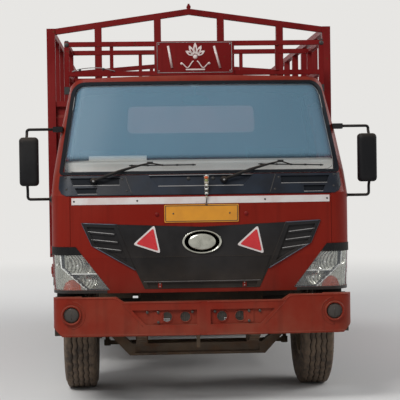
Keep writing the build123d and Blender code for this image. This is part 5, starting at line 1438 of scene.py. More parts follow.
# %% The tyre's grid
TYRE_RADIUS = 0.430
TEETH = 34
STEPS = 6
NOTCH_STEPS = 2
GROOVES = (-0.057, -0.0195, 0.0195, 0.057)
GROOVE_WIDTH = 0.009
GROOVE_DEEP = 0.008
GROOVE_WALL = 0.001
ZIGZAG = 0.0045
# Offset from the middle, and radius
SIDEWALL = ((0.084, 0.203), (0.084, 0.2205), (0.095, 0.236), (0.107, 0.262), (0.109, 0.264), (0.1135, 0.290),
            (0.1165, 0.303), (0.1165, 0.309), (0.1185, 0.325), (0.1185, 0.352), (0.115, 0.376),
            (0.1165, 0.379), (0.1155, 0.385), (0.112, 0.388), (0.1045, 0.411), (0.097, 0.424))
TYRE_HALF = max(x for x, r in SIDEWALL)
# Offset, drop below the tread and depth of the notch
SHOULDER = ((0.0885, 0.0015, 0.007), (0.079, 0.0, 0.006), (0.074, 0.0, 0.0))


def tyre_columns():
    """For each column: its offset, how far it follows the zigzag, its radius, its notch, and its finish."""
    right = [(x, 0.0, r, 0.0, 0) for x, r in SIDEWALL]
    shoulder = [(x, 0.0, TYRE_RADIUS - drop, notch, 0) for x, drop, notch in SHOULDER]
    left = [(-x, *rest) for x, *rest in right + shoulder]
    floor = TYRE_RADIUS - GROOVE_DEEP
    tread = []
    for near, far in [(groove - GROOVE_WIDTH / 2, groove + GROOVE_WIDTH / 2) for groove in GROOVES]:
        tread += [(near, 1.0, TYRE_RADIUS, 0.0, 0), (near + GROOVE_WALL, 1.0, floor, 0.0, 1),
                  (far - GROOVE_WALL, 1.0, floor, 0.0, 1), (far, 1.0, TYRE_RADIUS, 0.0, 0)]
    return left + tread + shoulder[::-1] + right[::-1]


def tyre(shape, turn):
    """One tyre round the local X axis."""
    columns = tyre_columns()
    around = TEETH * STEPS
    points = []
    for k in range(around):
        angle = math.tau * k / around
        tooth = k % STEPS
        zig = ZIGZAG * (4 * abs(tooth / STEPS - 0.5) - 1)
        for x, follow, radius, notch in [column[:4] for column in columns]:
            r = radius - (notch if tooth < NOTCH_STEPS else 0.0)
            points.append((x + follow * zig, r * math.cos(angle), r * math.sin(angle)))
    count = len(columns)
    for finish in (0, 1):
        faces = [(a + c, a + c + 1, b + c + 1, b + c)
                 for a, b in [(k * count, (k + 1) % around * count) for k in range(around)]
                 for c in range(count - 1) if (columns[c][4] and columns[c + 1][4]) == finish]
        shape.add(points, faces, finish, True, turn)


def groove_finish():
    # The grooves are darker than the tread as painted shade in the recess, and patches of packed dirt lie in
    # them.
    finish = Finish("groove_dirt", seen(26, 22, 20), 0.9)
    packed = finish.step(finish.noise(60.0, 4.0), 0.3, 0.7)
    tone = finish.mix(packed, seen(20, 17, 15), seen(64, 50, 40))
    return finish.finished(tone, finish.noise(20.0) * 0.1 + 0.85)


def tread_of(place):
    """The tyre of one wheel, or its twin tyres where the solid is wide enough for two."""
    low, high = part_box("tyre_" + place)
    width = 2 * TYRE_HALF + 0.003
    twin = high[0] - low[0] > 1.5 * width
    shape = Shape()
    for x in (low[0] + width / 2, high[0] - width / 2) if twin else ((low[0] + high[0]) / 2,):
        tyre(shape, Matrix.Translation((x, (low[1] + high[1]) / 2, TYRE_RADIUS)))
    piece = shape.make("tread_" + place, "wheel_" + place, "tyre_rubber", "groove_dirt")
    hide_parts("tyre_" + place)
    return piece


finishes["groove_dirt"] = groove_finish()
WHEELS = ("front_left", "front_right", "rear_left", "rear_right")
tell(*[tread_of(place) for place in WHEELS])

# %% [markdown]
# Six nuts hold each wheel, and a bent valve reaches out between them. They could be copies by an Array
# modifier about an empty. A loop over the places in a circle is shorter, and all stay one piece that turns
# with its wheel.

# %% Nuts and valves of the wheels
STUDS = 6
STUD_CIRCLE = 0.103
NUT = ((0, 0.027), (0.009, 0.026), (0.010, 0.018))
NUT_SKIRT = ((0.010, 0.018), (0.017, 0.017), (0.0175, 0.002), (0.021, 0.001), (0.021, -0.001))
VALVE = ((0.150, 0.02, -0.02), (0.158, 0.02, 0.02), (0.166, 0.02, 0.045))
# Middle of the wheel or of the twin wheel, and how far its dished face stands out from there
WHEEL_FACE = {"front": (0.850, 0.078), "rear": (0.7875, 0.014)}


def in_circle(turn, count, radius):
    """Places in a circle about the local Z of another place."""
    return [turn @ Matrix.Translation((x, y, 0)) for x, y in circle(radius, count)]


def wheel_nuts(place):
    low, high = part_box("wheel_" + place)
    end, word = place.split("_")
    side = 1 if word == "left" else -1
    middle, out = WHEEL_FACE[end]
    turn = facing_side(side * (middle + out), (low[1] + high[1]) / 2, TYRE_RADIUS, side)
    shape = Shape()
    for spot in in_circle(turn, STUDS, STUD_CIRCLE):
        shape.lathe(NUT, 1, spot, 10)
        shape.lathe(NUT_SKIRT, 1, spot, 6, False)
    shape.tube([turn @ Vector(point) for point in VALVE], 0.004, 2)
    return shape.make("nuts_wheel_" + place, "wheel_" + place, "wheel_paint", "spring_steel", "rubber_knob")


tell(*[wheel_nuts(place) for place in WHEELS])

# %% [markdown]
# The spare wheel lies flat under the rear of the frame, held by a screw and a bar. In the solids it is one
# plain ring. It gets the same tyre as the other wheels, so that all agree, round a steel dish.

# %% The spare wheel and its carrier
SPARE_DISH = ((0.090, -0.008), (0.158, -0.010), (0.190, -0.030), (0.196, -0.084), (0.219, -0.086),
              (0.220, -0.078), (0.203, -0.074), (0.200, 0.074), (0.220, 0.078), (0.219, 0.086),
              (0.196, 0.084), (0.188, -0.016), (0.156, 0.004), (0.090, 0.006), (0.090, -0.008))
SPARE_EYES = 0.125
SPARE_EYE = ((0.016, 0.0062), (0.016, -0.0104), (0.012, -0.0104), (0.012, 0.0062))
CARRIER_SCREW = (0.014, -0.034)
CARRIER_HALF = (0.110, 0.020)
CROSSBAR = (0.412, 0.025, 0.040)


def spare():
    low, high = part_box("spare_wheel")
    y, z, top = (low[1] + high[1]) / 2, low[2] + TYRE_HALF + 0.003, high[2]
    flat = Matrix.Translation((0, y, z))
    shape = Shape()
    tyre(shape, flat @ Matrix.Rotation(math.pi / 2, 4, "Y"))
    shape.lathe(SPARE_DISH, 2, flat, 48)
    for spot in in_circle(flat, STUDS, SPARE_EYES):
        shape.lathe(SPARE_EYE, 3, spot, 12)
    # Carrier: a screw up through the wheel, a bar under it and a bar across the frame
    r, foot = CARRIER_SCREW
    shape.lathe([(0, foot), (r, foot), (r, top - z), (0, top - z)], 4, flat, 12)
    wide, deep = CARRIER_HALF
    shape.box((-wide, y - deep, z - 0.030), (wide, y + deep, z - 0.010), 4)
    wide, deep, high_bar = CROSSBAR
    shape.box((-wide, y - deep, top - high_bar), (wide, y + deep, top), 4)
    piece = shape.make("spare_tread", "chassis", "tyre_rubber", "groove_dirt", "wheel_paint", "rubber_knob",
                       "chassis_black")
    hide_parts("spare_wheel")
    return piece


tell(spare())

# %% [markdown]
# ## Inside the cab
# The seats are padded. They could be sculpted, but pads get their look from air and cloth: so a copy of the
# plain seat is remeshed and blown up a little by a cloth simulation with pressure inside, and then its sewn
# channels are pressed in. Only one seat is simulated, and the other is its mirror image.

# %% A seat as a soft shape
SEAT_VOXEL = 0.011
SEAT_SHRINK = 0.95
SEAT_PUFF = 0.026
SEAT_CLEAR = 0.0005
AIR_PRESSURE = 4.0
AIR_FRAMES = 20
CHANNEL_PITCH = 0.085
CHANNEL_HALF = 0.014
CHANNEL_DEEP = 0.009
CHANNEL_FACING = 0.35
# The way channels follow one another, the way they face, where the first is, and how many there are
CHANNELS = {"cushion": ((0, 1, 0), (0, 0, 1), 0.09, 5), "backrest": ((0, 0, 1), (0, -1, 0), 0.16, 6)}


def seat_solids(node):
    """The two pads of a seat, cushion first, each as its own points and faces."""
    work = bmesh.new()
    work.from_mesh(nodes[node].data)
    bmesh.ops.remove_doubles(work, verts=work.verts, dist=0.0002)
    left = set(work.verts)
    pads = []
    while left:
        group, todo = set(), [next(iter(left))]
        while todo:
            vertex = todo.pop()
            if vertex in group:
                continue
            group.add(vertex)
            todo += [edge.other_vert(vertex) for edge in vertex.link_edges]
        left -= group
        index = {vertex: k for k, vertex in enumerate(group)}
        faces = [[index[v] for v in face.verts] for face in work.faces if face.verts[0] in group]
        points = [vertex.co.copy() for vertex in index]
        pads.append((points, faces))
    work.free()
    return sorted(pads, key=lambda pad: sum(point.z for point in pad[0]) / len(pad[0]))


def pad_object(name, points, faces):
    mesh = bpy.data.meshes.new(name)
    low = Vector([min(p[i] for p in points) for i in range(3)])
    high = Vector([max(p[i] for p in points) for i in range(3)])
    middle = (low + high) / 2
    mesh.from_pydata([tuple(middle + (point - middle) * SEAT_SHRINK) for point in points], [], faces)
    return placed(name, mesh)


def applied(pad):
    """The mesh that a piece's modifiers give, without them."""
    graph = bpy.context.evaluated_depsgraph_get()
    mesh = bpy.data.meshes.new_from_object(pad.evaluated_get(graph))
    pad.modifiers.clear()
    pad.data = mesh


def inflate(pad):
    remesh = pad.modifiers.new("even", "REMESH")
    remesh.mode = "VOXEL"
    remesh.voxel_size = SEAT_VOXEL
    applied(pad)
    before = [vertex.co.copy() for vertex in pad.data.vertices]
    cloth = pad.modifiers.new("air", "CLOTH")
    cloth.settings.use_pressure = True
    cloth.settings.uniform_pressure_force = AIR_PRESSURE
    cloth.settings.quality = 5
    cloth.settings.effector_weights.gravity = 0.0
    for count in range(AIR_FRAMES):
        bpy.context.scene.frame_set(count + 1)
    applied(pad)
    bpy.context.scene.frame_set(1)
    for vertex, start in zip(pad.data.vertices, before):
        move = vertex.co - start
        if move.length > SEAT_PUFF:
            vertex.co = start + move.normalized() * SEAT_PUFF
    return pad


def press_channels(pad, along, facing, start, count):
    """Sewn channels: lines across the pad, pressed in on the side that faces the sitter."""
    for vertex in pad.data.vertices:
        if vertex.normal.dot(facing) < CHANNEL_FACING:
            continue
        for k in range(count):
            far = abs(vertex.co.dot(along) - (start + CHANNEL_PITCH * k)) / CHANNEL_HALF
            if far < 1.0:
                vertex.co -= vertex.normal * CHANNEL_DEEP * (1 - far * far)


def mirror_piece(piece, name):
    mesh = piece.data.copy()
    for vertex in mesh.vertices:
        vertex.co.x = -vertex.co.x
    mesh.flip_normals()
    return placed(name, mesh)


def keep_in(pad, low, high):
    for vertex in pad.data.vertices:
        vertex.co = Vector([min(max(vertex.co[i], low[i]), high[i]) for i in range(3)])


def finished_pad(word, points, faces, low, high):
    pad = inflate(pad_object("passenger_" + word, points, faces))
    keep_in(pad, low + Vector((0, 0, SEAT_CLEAR)), high)
    along, facing, first, count = CHANNELS[word]
    press_channels(pad, Vector(along), Vector(facing), low.dot(Vector(along)) + first, count)
    smooth = pad.modifiers.new("smooth", "SUBSURF")
    smooth.levels = 1
    applied(pad)
    for polygon in pad.data.polygons:
        polygon.use_smooth = True
    return pad


def covered(pad):
    pad.data.materials.clear()
    pad.data.materials.append(finishes["seat_cloth"])
    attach(pad, "cab")
    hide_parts(pad.name.split("_")[0] + "_seat")
    return pad


def seats():
    low, high = (Vector(v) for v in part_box("passenger_seat"))
    solids = zip(CHANNELS, seat_solids("passenger_seat"))
    made = [finished_pad(word, *solid, low, high) for word, solid in solids]
    made += [mirror_piece(pad, pad.name.replace("passenger", "driver")) for pad in made]
    return [covered(pad) for pad in made]


tell(*seats())

# %% [markdown]
# Behind the glass hangs an oval mirror from the header, the hood of the dashboard holds four dials, and the
# gear lever stands on the tunnel between the seats. They show only through tinted glass, so a flat picture
# could do for the dials. Marks and needles of real thickness stay right from any side, and cost little.

# %% Mirror, dials and gear lever
INNER_MIRROR = (-0.016, 2.073)
INNER_BACK = 0.080
INNER_HALF = (0.095, 0.035)
INNER_CASE = ((0.30, -0.020), (0.86, -0.014), (1.0, 0.0), (0.97, 0.005), (0.92, 0.003))
INNER_GLASS = ((0.92, 0.003), (0.5, 0.004), (0.02, 0.0045))
HEADER_Z, HEADER_BACK = 2.214, 0.047
DIALS = ((-0.655, 0.030), (-0.570, 0.030), (-0.500, 0.020), (-0.445, 0.020))
DIAL_Z = 1.614
DIAL_BOARD = (-0.725, -0.400, 0.036)
DIAL_MARKS = [math.radians(-120 + 30 * k) for k in range(9)]
NEEDLE = math.radians(96)
HOOD_BACK = FRONT + 0.547
LEVER = ((-0.150, 0.830, 1.188), (-0.165, 0.800, 1.330), (-0.185, 0.770, 1.480))
LEVER_BOOT = ((0.062, -0.001), (0.060, 0.010), (0.046, 0.022), (0.040, 0.018), (0.030, 0.042), (0.024, 0.040),
              (0.010, 0.072))
LEVER_KNOB = ((0.007, -0.020), (0.017, -0.010), (0.024, 0.008), (0.020, 0.024), (0, 0.031))


def inner_mirror():
    shape = Shape()
    x, z = INNER_MIRROR
    y = depth_at(cab_face, x, z) + INNER_BACK
    turn = facing_back(x, y, z)
    shape.skin(oval_rings(*INNER_HALF, INNER_CASE, 40), 0, True, turn)
    shape.skin(oval_rings(*INNER_HALF, INNER_GLASS, 40), 1, True, turn)
    roof = depth_at(cab_face, x, HEADER_Z) + HEADER_BACK
    stalk = [(x, y - 0.012, z + 0.01), (x, y - 0.012, z + 0.09), (x, roof, HEADER_Z)]
    shape.tube(bent(stalk, 0.03), 0.006)
    shape.box((x - 0.025, y - 0.022, z + 0.088), (x + 0.025, y - 0.010, z + 0.112), 2)
    return shape.make("inner_mirror", "cab", "black_plastic", "lamp_silver", "bulb_white")


def dial(shape, x, radius):
    turn = facing_back(x, HOOD_BACK + 0.002, DIAL_Z)
    face = [(radius + 0.003, 0), (radius + 0.003, 0.004), (radius, 0.005), (radius, 0.001), (0, 0.001)]
    shape.lathe(face, 0, turn, 28)
    for angle in DIAL_MARKS:
        mark = turn @ Matrix.Rotation(angle, 4, "Z")
        shape.box((-0.0008, radius * 0.74, 0.001), (0.0008, radius * 0.94, 0.0016), 1, mark)
    needle = turn @ Matrix.Rotation(NEEDLE, 4, "Z")
    shape.box((-0.0009, -0.004, 0.001), (0.0009, radius * 0.78, 0.0028), 2, needle)


def dials():
    shape = Shape()
    right, left, half = DIAL_BOARD
    place = Matrix.Translation((0, HOOD_BACK, 0))
    shape.box((right, -0.004, DIAL_Z - half), (left, 0.002, DIAL_Z + half), 0, place)
    for x, radius in DIALS:
        dial(shape, x, radius)
    return shape.make("dials", "cab", "rubber_knob", "bulb_white", "orange_lens")


def gear_lever():
    shape = Shape()
    path = [Vector((x, FRONT + depth, z)) for x, depth, z in LEVER]
    shape.tube(bent(path, 0.05), 0.007)
    shape.lathe(LEVER_BOOT, 1, Matrix.Translation(path[0]), 24)
    shape.lathe(LEVER_KNOB, 1, Matrix.Translation(path[-1]), 24)
    return shape.make("gear_lever", "cab", "engine_grey", "rubber_knob")


tell(inner_mirror(), dials(), gear_lever())

# %% [markdown]
# ## Rack and sign board
# The board on the rack has a border and, in its middle, a plain flourish of petals with a stroke on both
# sides. Painted shapes could be a mask in the board's finish, which takes many nodes for fine forms. Thin
# prisms and rods laid on the board do the same, and they catch a little light as thick paint does.

# %% Flourish on the board
BOARD_Y = FRONT + 0.847
BOARD_HALF = 0.270
BOARD_Z = (2.292, 2.510)
BOARD_MARGIN = 0.012
BOARD_RIVET = ((0, 0.004), (0.005, 0.003), (0.006, -0.001))
FLOWER = (0.005, 2.405)
FLOWER_EYE = ((0, 0.006), (0.012, 0.005), (0.016, 0.002), (0.016, -0.001))
CURL_KNOB = ((0, 0.0045), (0.009, 0.003), (0.010, -0.001))
STROKES = (((-0.191, 2.485), (-0.164, 2.326)), ((0.142, 2.482), (0.184, 2.323)))


def petal(length, width, start):
    """A leaf-shaped outline that points up from the middle of a flower."""
    right = [(width * math.sin(math.pi * k / 10) ** 0.8, start + (length - start) * k / 10)
             for k in range(1, 10)]
    return [(0, start)] + right + [(0, length)] + [(-x, y) for x, y in right[::-1]]


def flower(shape, turn):
    """Five petals with a dark heart each, two curls under them and a foot line."""
    for k in range(5):
        lean = turn @ Matrix.Rotation(math.radians(58 - 29 * k), 4, "Z")
        length = 0.104 - 0.011 * abs(k - 2)
        shape.prism(petal(length, 0.014, 0.018), -0.001, 0.003, 0, lean)
        shape.prism(petal(length * 0.72, 0.005, 0.034), 0.002, 0.0042, 1, lean)
    for side in (-1, 1):
        curl = []
        for k in range(13):
            out, drop = 0.012 + 0.088 * k / 12, 0.040 * math.sin(math.pi * k / 12) ** 2
            curl.append(turn @ Vector((side * out, -0.030 - drop - 0.018 * k / 12, 0.002)))
        shape.tube(curl, 0.0045, 0, 8)
        shape.lathe(CURL_KNOB, 0, turn @ Matrix.Translation((side * 0.100, -0.048, 0)), 16)
    shape.lathe(FLOWER_EYE, 0, turn, 20)
    shape.box((-0.070, -0.096, -0.001), (0.070, -0.086, 0.003), 0, turn)


def sign_board():
    shape = Shape()
    flower(shape, facing_front(FLOWER[0], BOARD_Y, FLOWER[1]))
    for path in STROKES:
        shape.tube([(x, BOARD_Y - 0.001, z) for x, z in path], 0.0085)
    half, (low, high) = BOARD_HALF, BOARD_Z
    border = [(-half, low), (-half, high), (half, high), (half, low), (-half, low)]
    shape.tube([(x, BOARD_Y, z) for x, z in border], 0.0028, 2, 8)
    for x in (-half + BOARD_MARGIN, half - BOARD_MARGIN):
        for z in (low + BOARD_MARGIN, high - BOARD_MARGIN):
            shape.lathe(BOARD_RIVET, 2, facing_front(x, BOARD_Y, z), 12)
    return shape.make("sign_ornament", "cab", "sign_white", "cage_maroon", "line_grey")


tell(sign_board())

# %% [markdown]
# The rack is welded from square tubes with plastic caps, clamps hold its feet on the roof, and a bent rod
# crosses its front. Clamps could be copies of one object. A function builds each at its place, as one piece.

# %% Caps, clamps and the bent rod
RACK_X = 0.923
RACK_DEPTHS = (0.867, 1.533)
RACK_TOP = 2.520
RACK_TUBE = 0.018
ROOF_Z = 2.166
TUBE_CAP = ((0.0, 0.010), (0.016, 0.010), (0.0205, 0.006), (0.0215, -0.014), (0.017, -0.014))
CLAMP_BOLT = ((0, 0.014), (0.006, 0.013), (0.006, 0.008), (0.012, 0.008), (0.012, -0.004))
CLAMP_BOLTS = 0.02205
TUBE_PLUG = ((0, 0.008), (0.014, 0.007), (0.017, 0.002), (0.017, -0.004))
ROD = ((-0.886, 2.306), (-0.830, 2.326), (-0.742, 2.334), (-0.660, 2.330), (-0.577, 2.306))
ROD_PLUG = ((0, 0.010), (0.008, 0.008), (0.010, 0.0), (0.010, -0.004))
WELDS = [(x, z) for x in (-0.6, 0.6) for z in (2.306, 2.486)]


def rack_foot(shape, side, y):
    """A cap on one upright of the rack, and on its foot a clamp: a plate, a block and two bolts."""
    x, z = side * RACK_X, ROOF_Z
    square = Matrix.Translation((x, y, RACK_TOP)) @ Matrix.Rotation(math.pi / 4, 4, "Z")
    shape.lathe(TUBE_CAP, 0, square, 4, False)
    shape.box((x - side * 0.052, y - 0.026, z + 0.008), (x - side * 0.014, y + 0.026, z + 0.016), 1)
    shape.box((x - 0.021, y - 0.029, z - 0.022), (x + 0.017, y + 0.029, z + 0.030), 0)
    for dy in (-CLAMP_BOLTS, CLAMP_BOLTS):
        shape.lathe(CLAMP_BOLT, 0, Matrix.Translation((x - side * 0.034, y + dy, z + 0.016)), 6, False)


def rack_fittings():
    shape = Shape()
    for side in (-1, 1):
        for depth in RACK_DEPTHS:
            rack_foot(shape, side, FRONT + depth)
    front = FRONT + RACK_DEPTHS[0] - RACK_TUBE
    for x in (-RACK_X, RACK_X):
        shape.lathe(TUBE_PLUG, 0, facing_front(x, front, 2.500), 20)
    shape.tube(bent([(x, front - 0.003, z) for x, z in ROD], 0.04), 0.0032, 2, 8)
    for x, z in (ROD[1], ROD[3]):
        shape.lathe(ROD_PLUG, 0, facing_front(x, front - 0.002, z - 0.008), 16)
    # Welds where the uprights meet the rails
    for x, z in WELDS:
        shape.tube([(x - 0.013, front, z), (x + 0.013, front, z)], 0.004, 3, 8)
    return shape.make("rack_fittings", "cab", "rubber_knob", "engine_grey", "line_grey", "cage_maroon")


tell(rack_fittings())

# %% [markdown]
# ## Fittings round the truck
# Such a truck carries handles and mirrors on its cab, hooks, amber reflectors and rivets along its cage, and
# lamps, a plate and latches at its back. A few kinds of them could be kept as a library of parts. They are
# small, so each is built where it sits, with a place found by a ray on the part that it is fixed to.

# %% Places on a side of the truck, and a bolt
def side_at(surface, y, z, side):
    """How far out a surface reaches at a place on the truck's left (side 1) or right (side -1)."""
    hit = surface.ray_cast(Vector((side * 2.0, y, z)), Vector((-side, 0, 0)))[0]
    return hit.x if hit else side


def on_side(surface, y, z, side):
    return facing_side(side_at(surface, y, z, side), y, z, side)


def bolt(shape, turn, radius, slot):
    """A six-sided head on a round washer."""
    head = [(0, radius * 0.9), (radius * 0.85, radius * 0.85), (radius, radius * 0.6), (radius, 0)]
    shape.lathe(head, slot, turn, 6, False)
    shape.lathe([(radius, 0.002), (radius * 1.5, 0.002), (radius * 1.55, -0.001)], slot, turn, 16)


print("local Z of a place on the left side:", [round(v) for v in facing_side(0, 0, 0, 1).col[2][:3]])

# %% Handles and hinges of the doors
HANDLE = (-1.745, 1.290)
HANDLE_RINGS = ((1, 1, -0.006), (1, 1, 0.004), (0.92, 0.86, 0.007), (0.82, 0.66, 0.003))
FLAP_UP = 0.004
FLAP_RINGS = ((1, 1, 0.003), (1, 1, 0.011), (0.9, 0.8, 0.014))
LOCK_DROP = 0.050
LOCK = ((0, 0.004), (0.006, 0.004), (0.0105, 0.003), (0.0115, -0.003))
HINGE_HEIGHTS = (0.930, 1.340)
HINGE_DEPTHS = (0.575, 0.630)
SILL = (-2.420, -1.750, 1.425)


def door_fittings(side, word):
    shape = Shape()
    body = surface_of("door_" + word)
    y, z = HANDLE
    turn = on_side(body, y, z, side)
    shape.skin(scaled(rounded(0.066, 0.024, 0.012), HANDLE_RINGS), 0, True, turn)
    flap = scaled(rounded(0.048, 0.0105, 0.008), FLAP_RINGS)
    shape.skin([[(a, b + FLAP_UP, out) for a, b, out in ring] for ring in flap], 0, True, turn)
    lock = on_side(body, y, z - LOCK_DROP, side)
    shape.lathe(LOCK, 1, lock, 20)
    shape.box((-0.0008, -0.005, 0.0035), (0.0008, 0.005, 0.0046), 0, lock)
    for height in HINGE_HEIGHTS:
        for depth in HINGE_DEPTHS:
            bolt(shape, on_side(body, FRONT + depth, height, side), 0.008, 1)
    # A bead along the lower edge of the window
    start, end, height = SILL
    bead_y = [start + (end - start) * k / 16 for k in range(17)]
    shape.tube([(side_at(body, y, height, side), y, height) for y in bead_y], 0.0065, 0, 8)
    return shape.make("fittings_" + word, "door_" + word, "black_plastic", "engine_grey")


tell(*both(door_fittings))

# %% [markdown]
# The big mirrors hang on bent tubes. A bevelled box could be the head, but its housing is crowned. So rings
# of one rounded outline are skinned from its back to its rim, and the tube's path is bent before it is swept.

# %% Mirrors: the head, its glass and the arms
MIRROR = (1.168, 0.366, 1.655)
MIRROR_OUTLINE = rounded(0.066, 0.1675, 0.026)
MIRROR_CASE = ((0.55, -0.0295), (0.86, -0.026), (0.97, -0.012), (1.0, 0.004), (1.0, 0.028), (0.98, 0.030),
               (0.92, 0.030), (0.90, 0.022))
MIRROR_GLASS = ((0.91, 0.022), (0.5, 0.023), (0.03, 0.0235))
POST_X = 1.182
POST_BENDS = (1.842, 1.812, 1.500, 1.468)
ARM_DEPTH = 0.406
ARM_HEIGHTS = (1.876, 1.396)
ARM_ROOTS = (0.945, 0.998)
ARM_BRACKET = (0.936, 1.003, 0.477, 0.018)
ARM_FOOT = ((0.010, 0.020), (0.016, 0.016), (0.026, 0.006), (0.027, -0.003))
cab_side = surface_of("cab_shell", "cowl_panel")


def mirror_head(shape, side):
    """A crowned housing with its glass sunk in the back. The post passes through it, not over the glass."""
    turn = facing_back(side * MIRROR[0], FRONT + MIRROR[1], MIRROR[2])
    case = [(size, 0.6 + 0.4 * size, out) for size, out in MIRROR_CASE]
    glass = [(size, size * 0.965, out) for size, out in MIRROR_GLASS]
    shape.skin(scaled(MIRROR_OUTLINE, case), 0, True, turn)
    shape.skin(scaled(MIRROR_OUTLINE, glass), 1, True, turn)


def mirror_arms(shape, side):
    x, arm_y, head_y = side * POST_X, FRONT + ARM_DEPTH, FRONT + MIRROR[1]
    (top, low), (z1, z2, z3, z4) = ARM_HEIGHTS, POST_BENDS
    path = [(side * ARM_ROOTS[0], arm_y, top), (x, arm_y, top), (x, arm_y, z1), (x, head_y, z2),
            (x, head_y, z3), (x, arm_y, z4), (x, arm_y, low), (side * ARM_ROOTS[1], arm_y, low)]
    shape.tube(bent(path, 0.022), 0.0098, 0, 12)
    inner, outer, depth, half = ARM_BRACKET
    x_low, x_high = sorted((side * inner, side * outer))
    shape.box((x_low, arm_y - 0.013, top - half), (x_high, FRONT + depth, top + half), 0)
    shape.lathe(ARM_FOOT, 0, on_side(cab_side, arm_y, low, side), 20)
    for y in (arm_y + 0.012, arm_y + 0.052):
        bolt(shape, facing_side(side * outer, y, top, side), 0.007, 2)


def mirrors():
    shape = Shape()
    for side in (-1, 1):
        mirror_head(shape, side)
        mirror_arms(shape, side)
    piece = shape.make("mirror_heads", "cab", "black_plastic", "lamp_silver", "engine_grey")
    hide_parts("mirrors")
    return piece


tell(mirrors())

# %% [markdown]
# Along the foot of the cage run rope hooks, bent from round bar, and amber reflectors, and rows of rivets
# hold the sheets to the posts. Rivets could be bumps in the paint, but here they lie on ribbed sheet, and
# only a ray tells where the sheet is. They are spaced evenly between the two ends of the cage.

# %% Hooks, reflectors and rivets along the cage
CAGE_Y = (-1.19, 2.93)
HOOKS = 10
HOOK_Z = 0.934
HOOK = ((-0.022, 0.012, 0.001), (-0.022, -0.008, 0.003), (0.022, -0.008, 0.003), (0.022, 0.012, 0.001))
HOOK_NUT = ((0, 0.004), (0.009, 0.003), (0.010, -0.001))
REFLECTORS = 4
REFLECTOR_Z = 0.980
REFLECTOR_RINGS = ((1, 1, -0.001), (1, 1, 0.004), (0.94, 0.84, 0.007))
RIVET_COLUMNS, RIVET_ROWS = 7, 9
RIVET_FOOT, RIVET_PITCH = 1.06, 0.125
RIVET = ((0, 0.003), (0.005, 0.0024), (0.007, -0.001))


def spread(margin, count):
    """Evenly spaced places from one end of the cage to the other, the margin kept free at both."""
    start, end = CAGE_Y
    return [start + margin + (end - start - 2 * margin) * k / (count - 1) for k in range(count)]


def hook(shape, turn):
    shape.tube([turn @ point for point in bent(HOOK, 0.014)], 0.005, 0, 8)
    for a in (-0.022, 0.022):
        shape.lathe(HOOK_NUT, 0, turn @ Matrix.Translation((a, 0.014, 0)), 12)


def reflector(shape, turn):
    shape.skin(scaled(rounded(0.048, 0.017, 0.006), REFLECTOR_RINGS), 1, True, turn)
    for a in range(-5, 6):
        shape.box((a * 0.008 - 0.001, -0.012, 0.0065), (a * 0.008 + 0.001, 0.012, 0.0082), 1, turn)


def cage_fittings(side, word):
    shape = Shape()
    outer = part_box("side_frame_" + word)[1 if side > 0 else 0][0]
    start, end = CAGE_Y
    for k in range(HOOKS):
        hook(shape, facing_side(outer, start + (end - start) * (k + 0.5) / HOOKS, HOOK_Z, side))
    for y in spread(0.35, REFLECTORS):
        reflector(shape, facing_side(outer, y, REFLECTOR_Z, side))
    sheet = surface_of("side_frame_" + word, "cargo_side_" + word)
    for y in spread(0.02, RIVET_COLUMNS):
        for row in range(RIVET_ROWS):
            shape.lathe(RIVET, 2, on_side(sheet, y, RIVET_FOOT + RIVET_PITCH * row, side), 10)
    return shape.make("cage_fittings_" + word, "chassis", "cage_maroon", "orange_lens", "cage_maroon")


tell(*both(cage_fittings))

# %% [markdown]
# At the back sit ribbed tail lamps with a red, an amber and a clear field, the rear plate on its brackets and
# slanted red and white bands on the underrun bar. The bands could be a striped finish. As thin prisms they
# end cleanly at the bar's edges, and they shine like the foil that they are.

# %% Tail lamps, plate and striped boards
REAR = cad_high.y
LAMP_PLACE = (0.860, FRONT + 6.024, 0.640)
LAMP_FIELDS = ((-0.147, -0.050, 0), (-0.046, 0.046, 1), (0.050, 0.147, 2))
LAMP_RINGS = ((1, 1, 0.0), (1, 1, 0.008), (0.94, 0.94, 0.012))
BAR_BACK = FRONT + 6.010
REAR_PLATE_Z = 0.640
REAR_BRACKETS = (-0.16, 0.16)
BAND = 0.055
BAND_HIGH, BAND_LEAN = 0.040, 0.030


def lamp_field(shape, turn, half, slot):
    shape.skin(scaled(rounded(half, 0.050, 0.008), LAMP_RINGS), slot, True, turn)
    reach = half - 0.006
    for k in range(-4, 5):
        shape.box((-reach, k * 0.010 - 0.0012, 0.011), (reach, k * 0.010 + 0.0012, 0.0132), slot, turn)


def tail_lamps():
    shape = Shape()
    for side in (-1, 1):
        turn = facing_back(side * LAMP_PLACE[0], *LAMP_PLACE[1:])
        shape.prism(rounded(0.153, 0.058, 0.012), -0.018, 0.001, 3, turn)
        for x0, x1, slot in LAMP_FIELDS:
            lamp_field(shape, turn @ Matrix.Translation((-side * (x0 + x1) / 2, 0, 0)), (x1 - x0) / 2, slot)
    return shape.make("tail_lenses", "chassis", "lamp_red", "orange_lens", "bulb_white", "black_plastic")


def rear_plate():
    shape = Shape()
    turn = facing_back(0, BAR_BACK, REAR_PLATE_Z)
    shape.prism(rounded(*PLATE_HALF, 0.008), 0.004, 0.009, 0, turn)
    outline = rounded(PLATE_HALF[0] - PLATE_MARGIN, PLATE_HALF[1] - PLATE_MARGIN, 0.006)
    pressed_border(shape, outline, [(a * 0.982, b * 0.92) for a, b in outline], 0.008, 0.011, turn)
    # Two brackets take the plate down to the bar
    for x in REAR_BRACKETS:
        shape.box((x - 0.014, -0.126, -0.001), (x + 0.014, 0.040, 0.0045), 2, turn)
        bolt(shape, turn @ Matrix.Translation((x, -0.085, 0.004)), 0.007, 1)
    return shape.make("rear_plate", "chassis", "plate_yellow", "rubber_knob", "chassis_black")


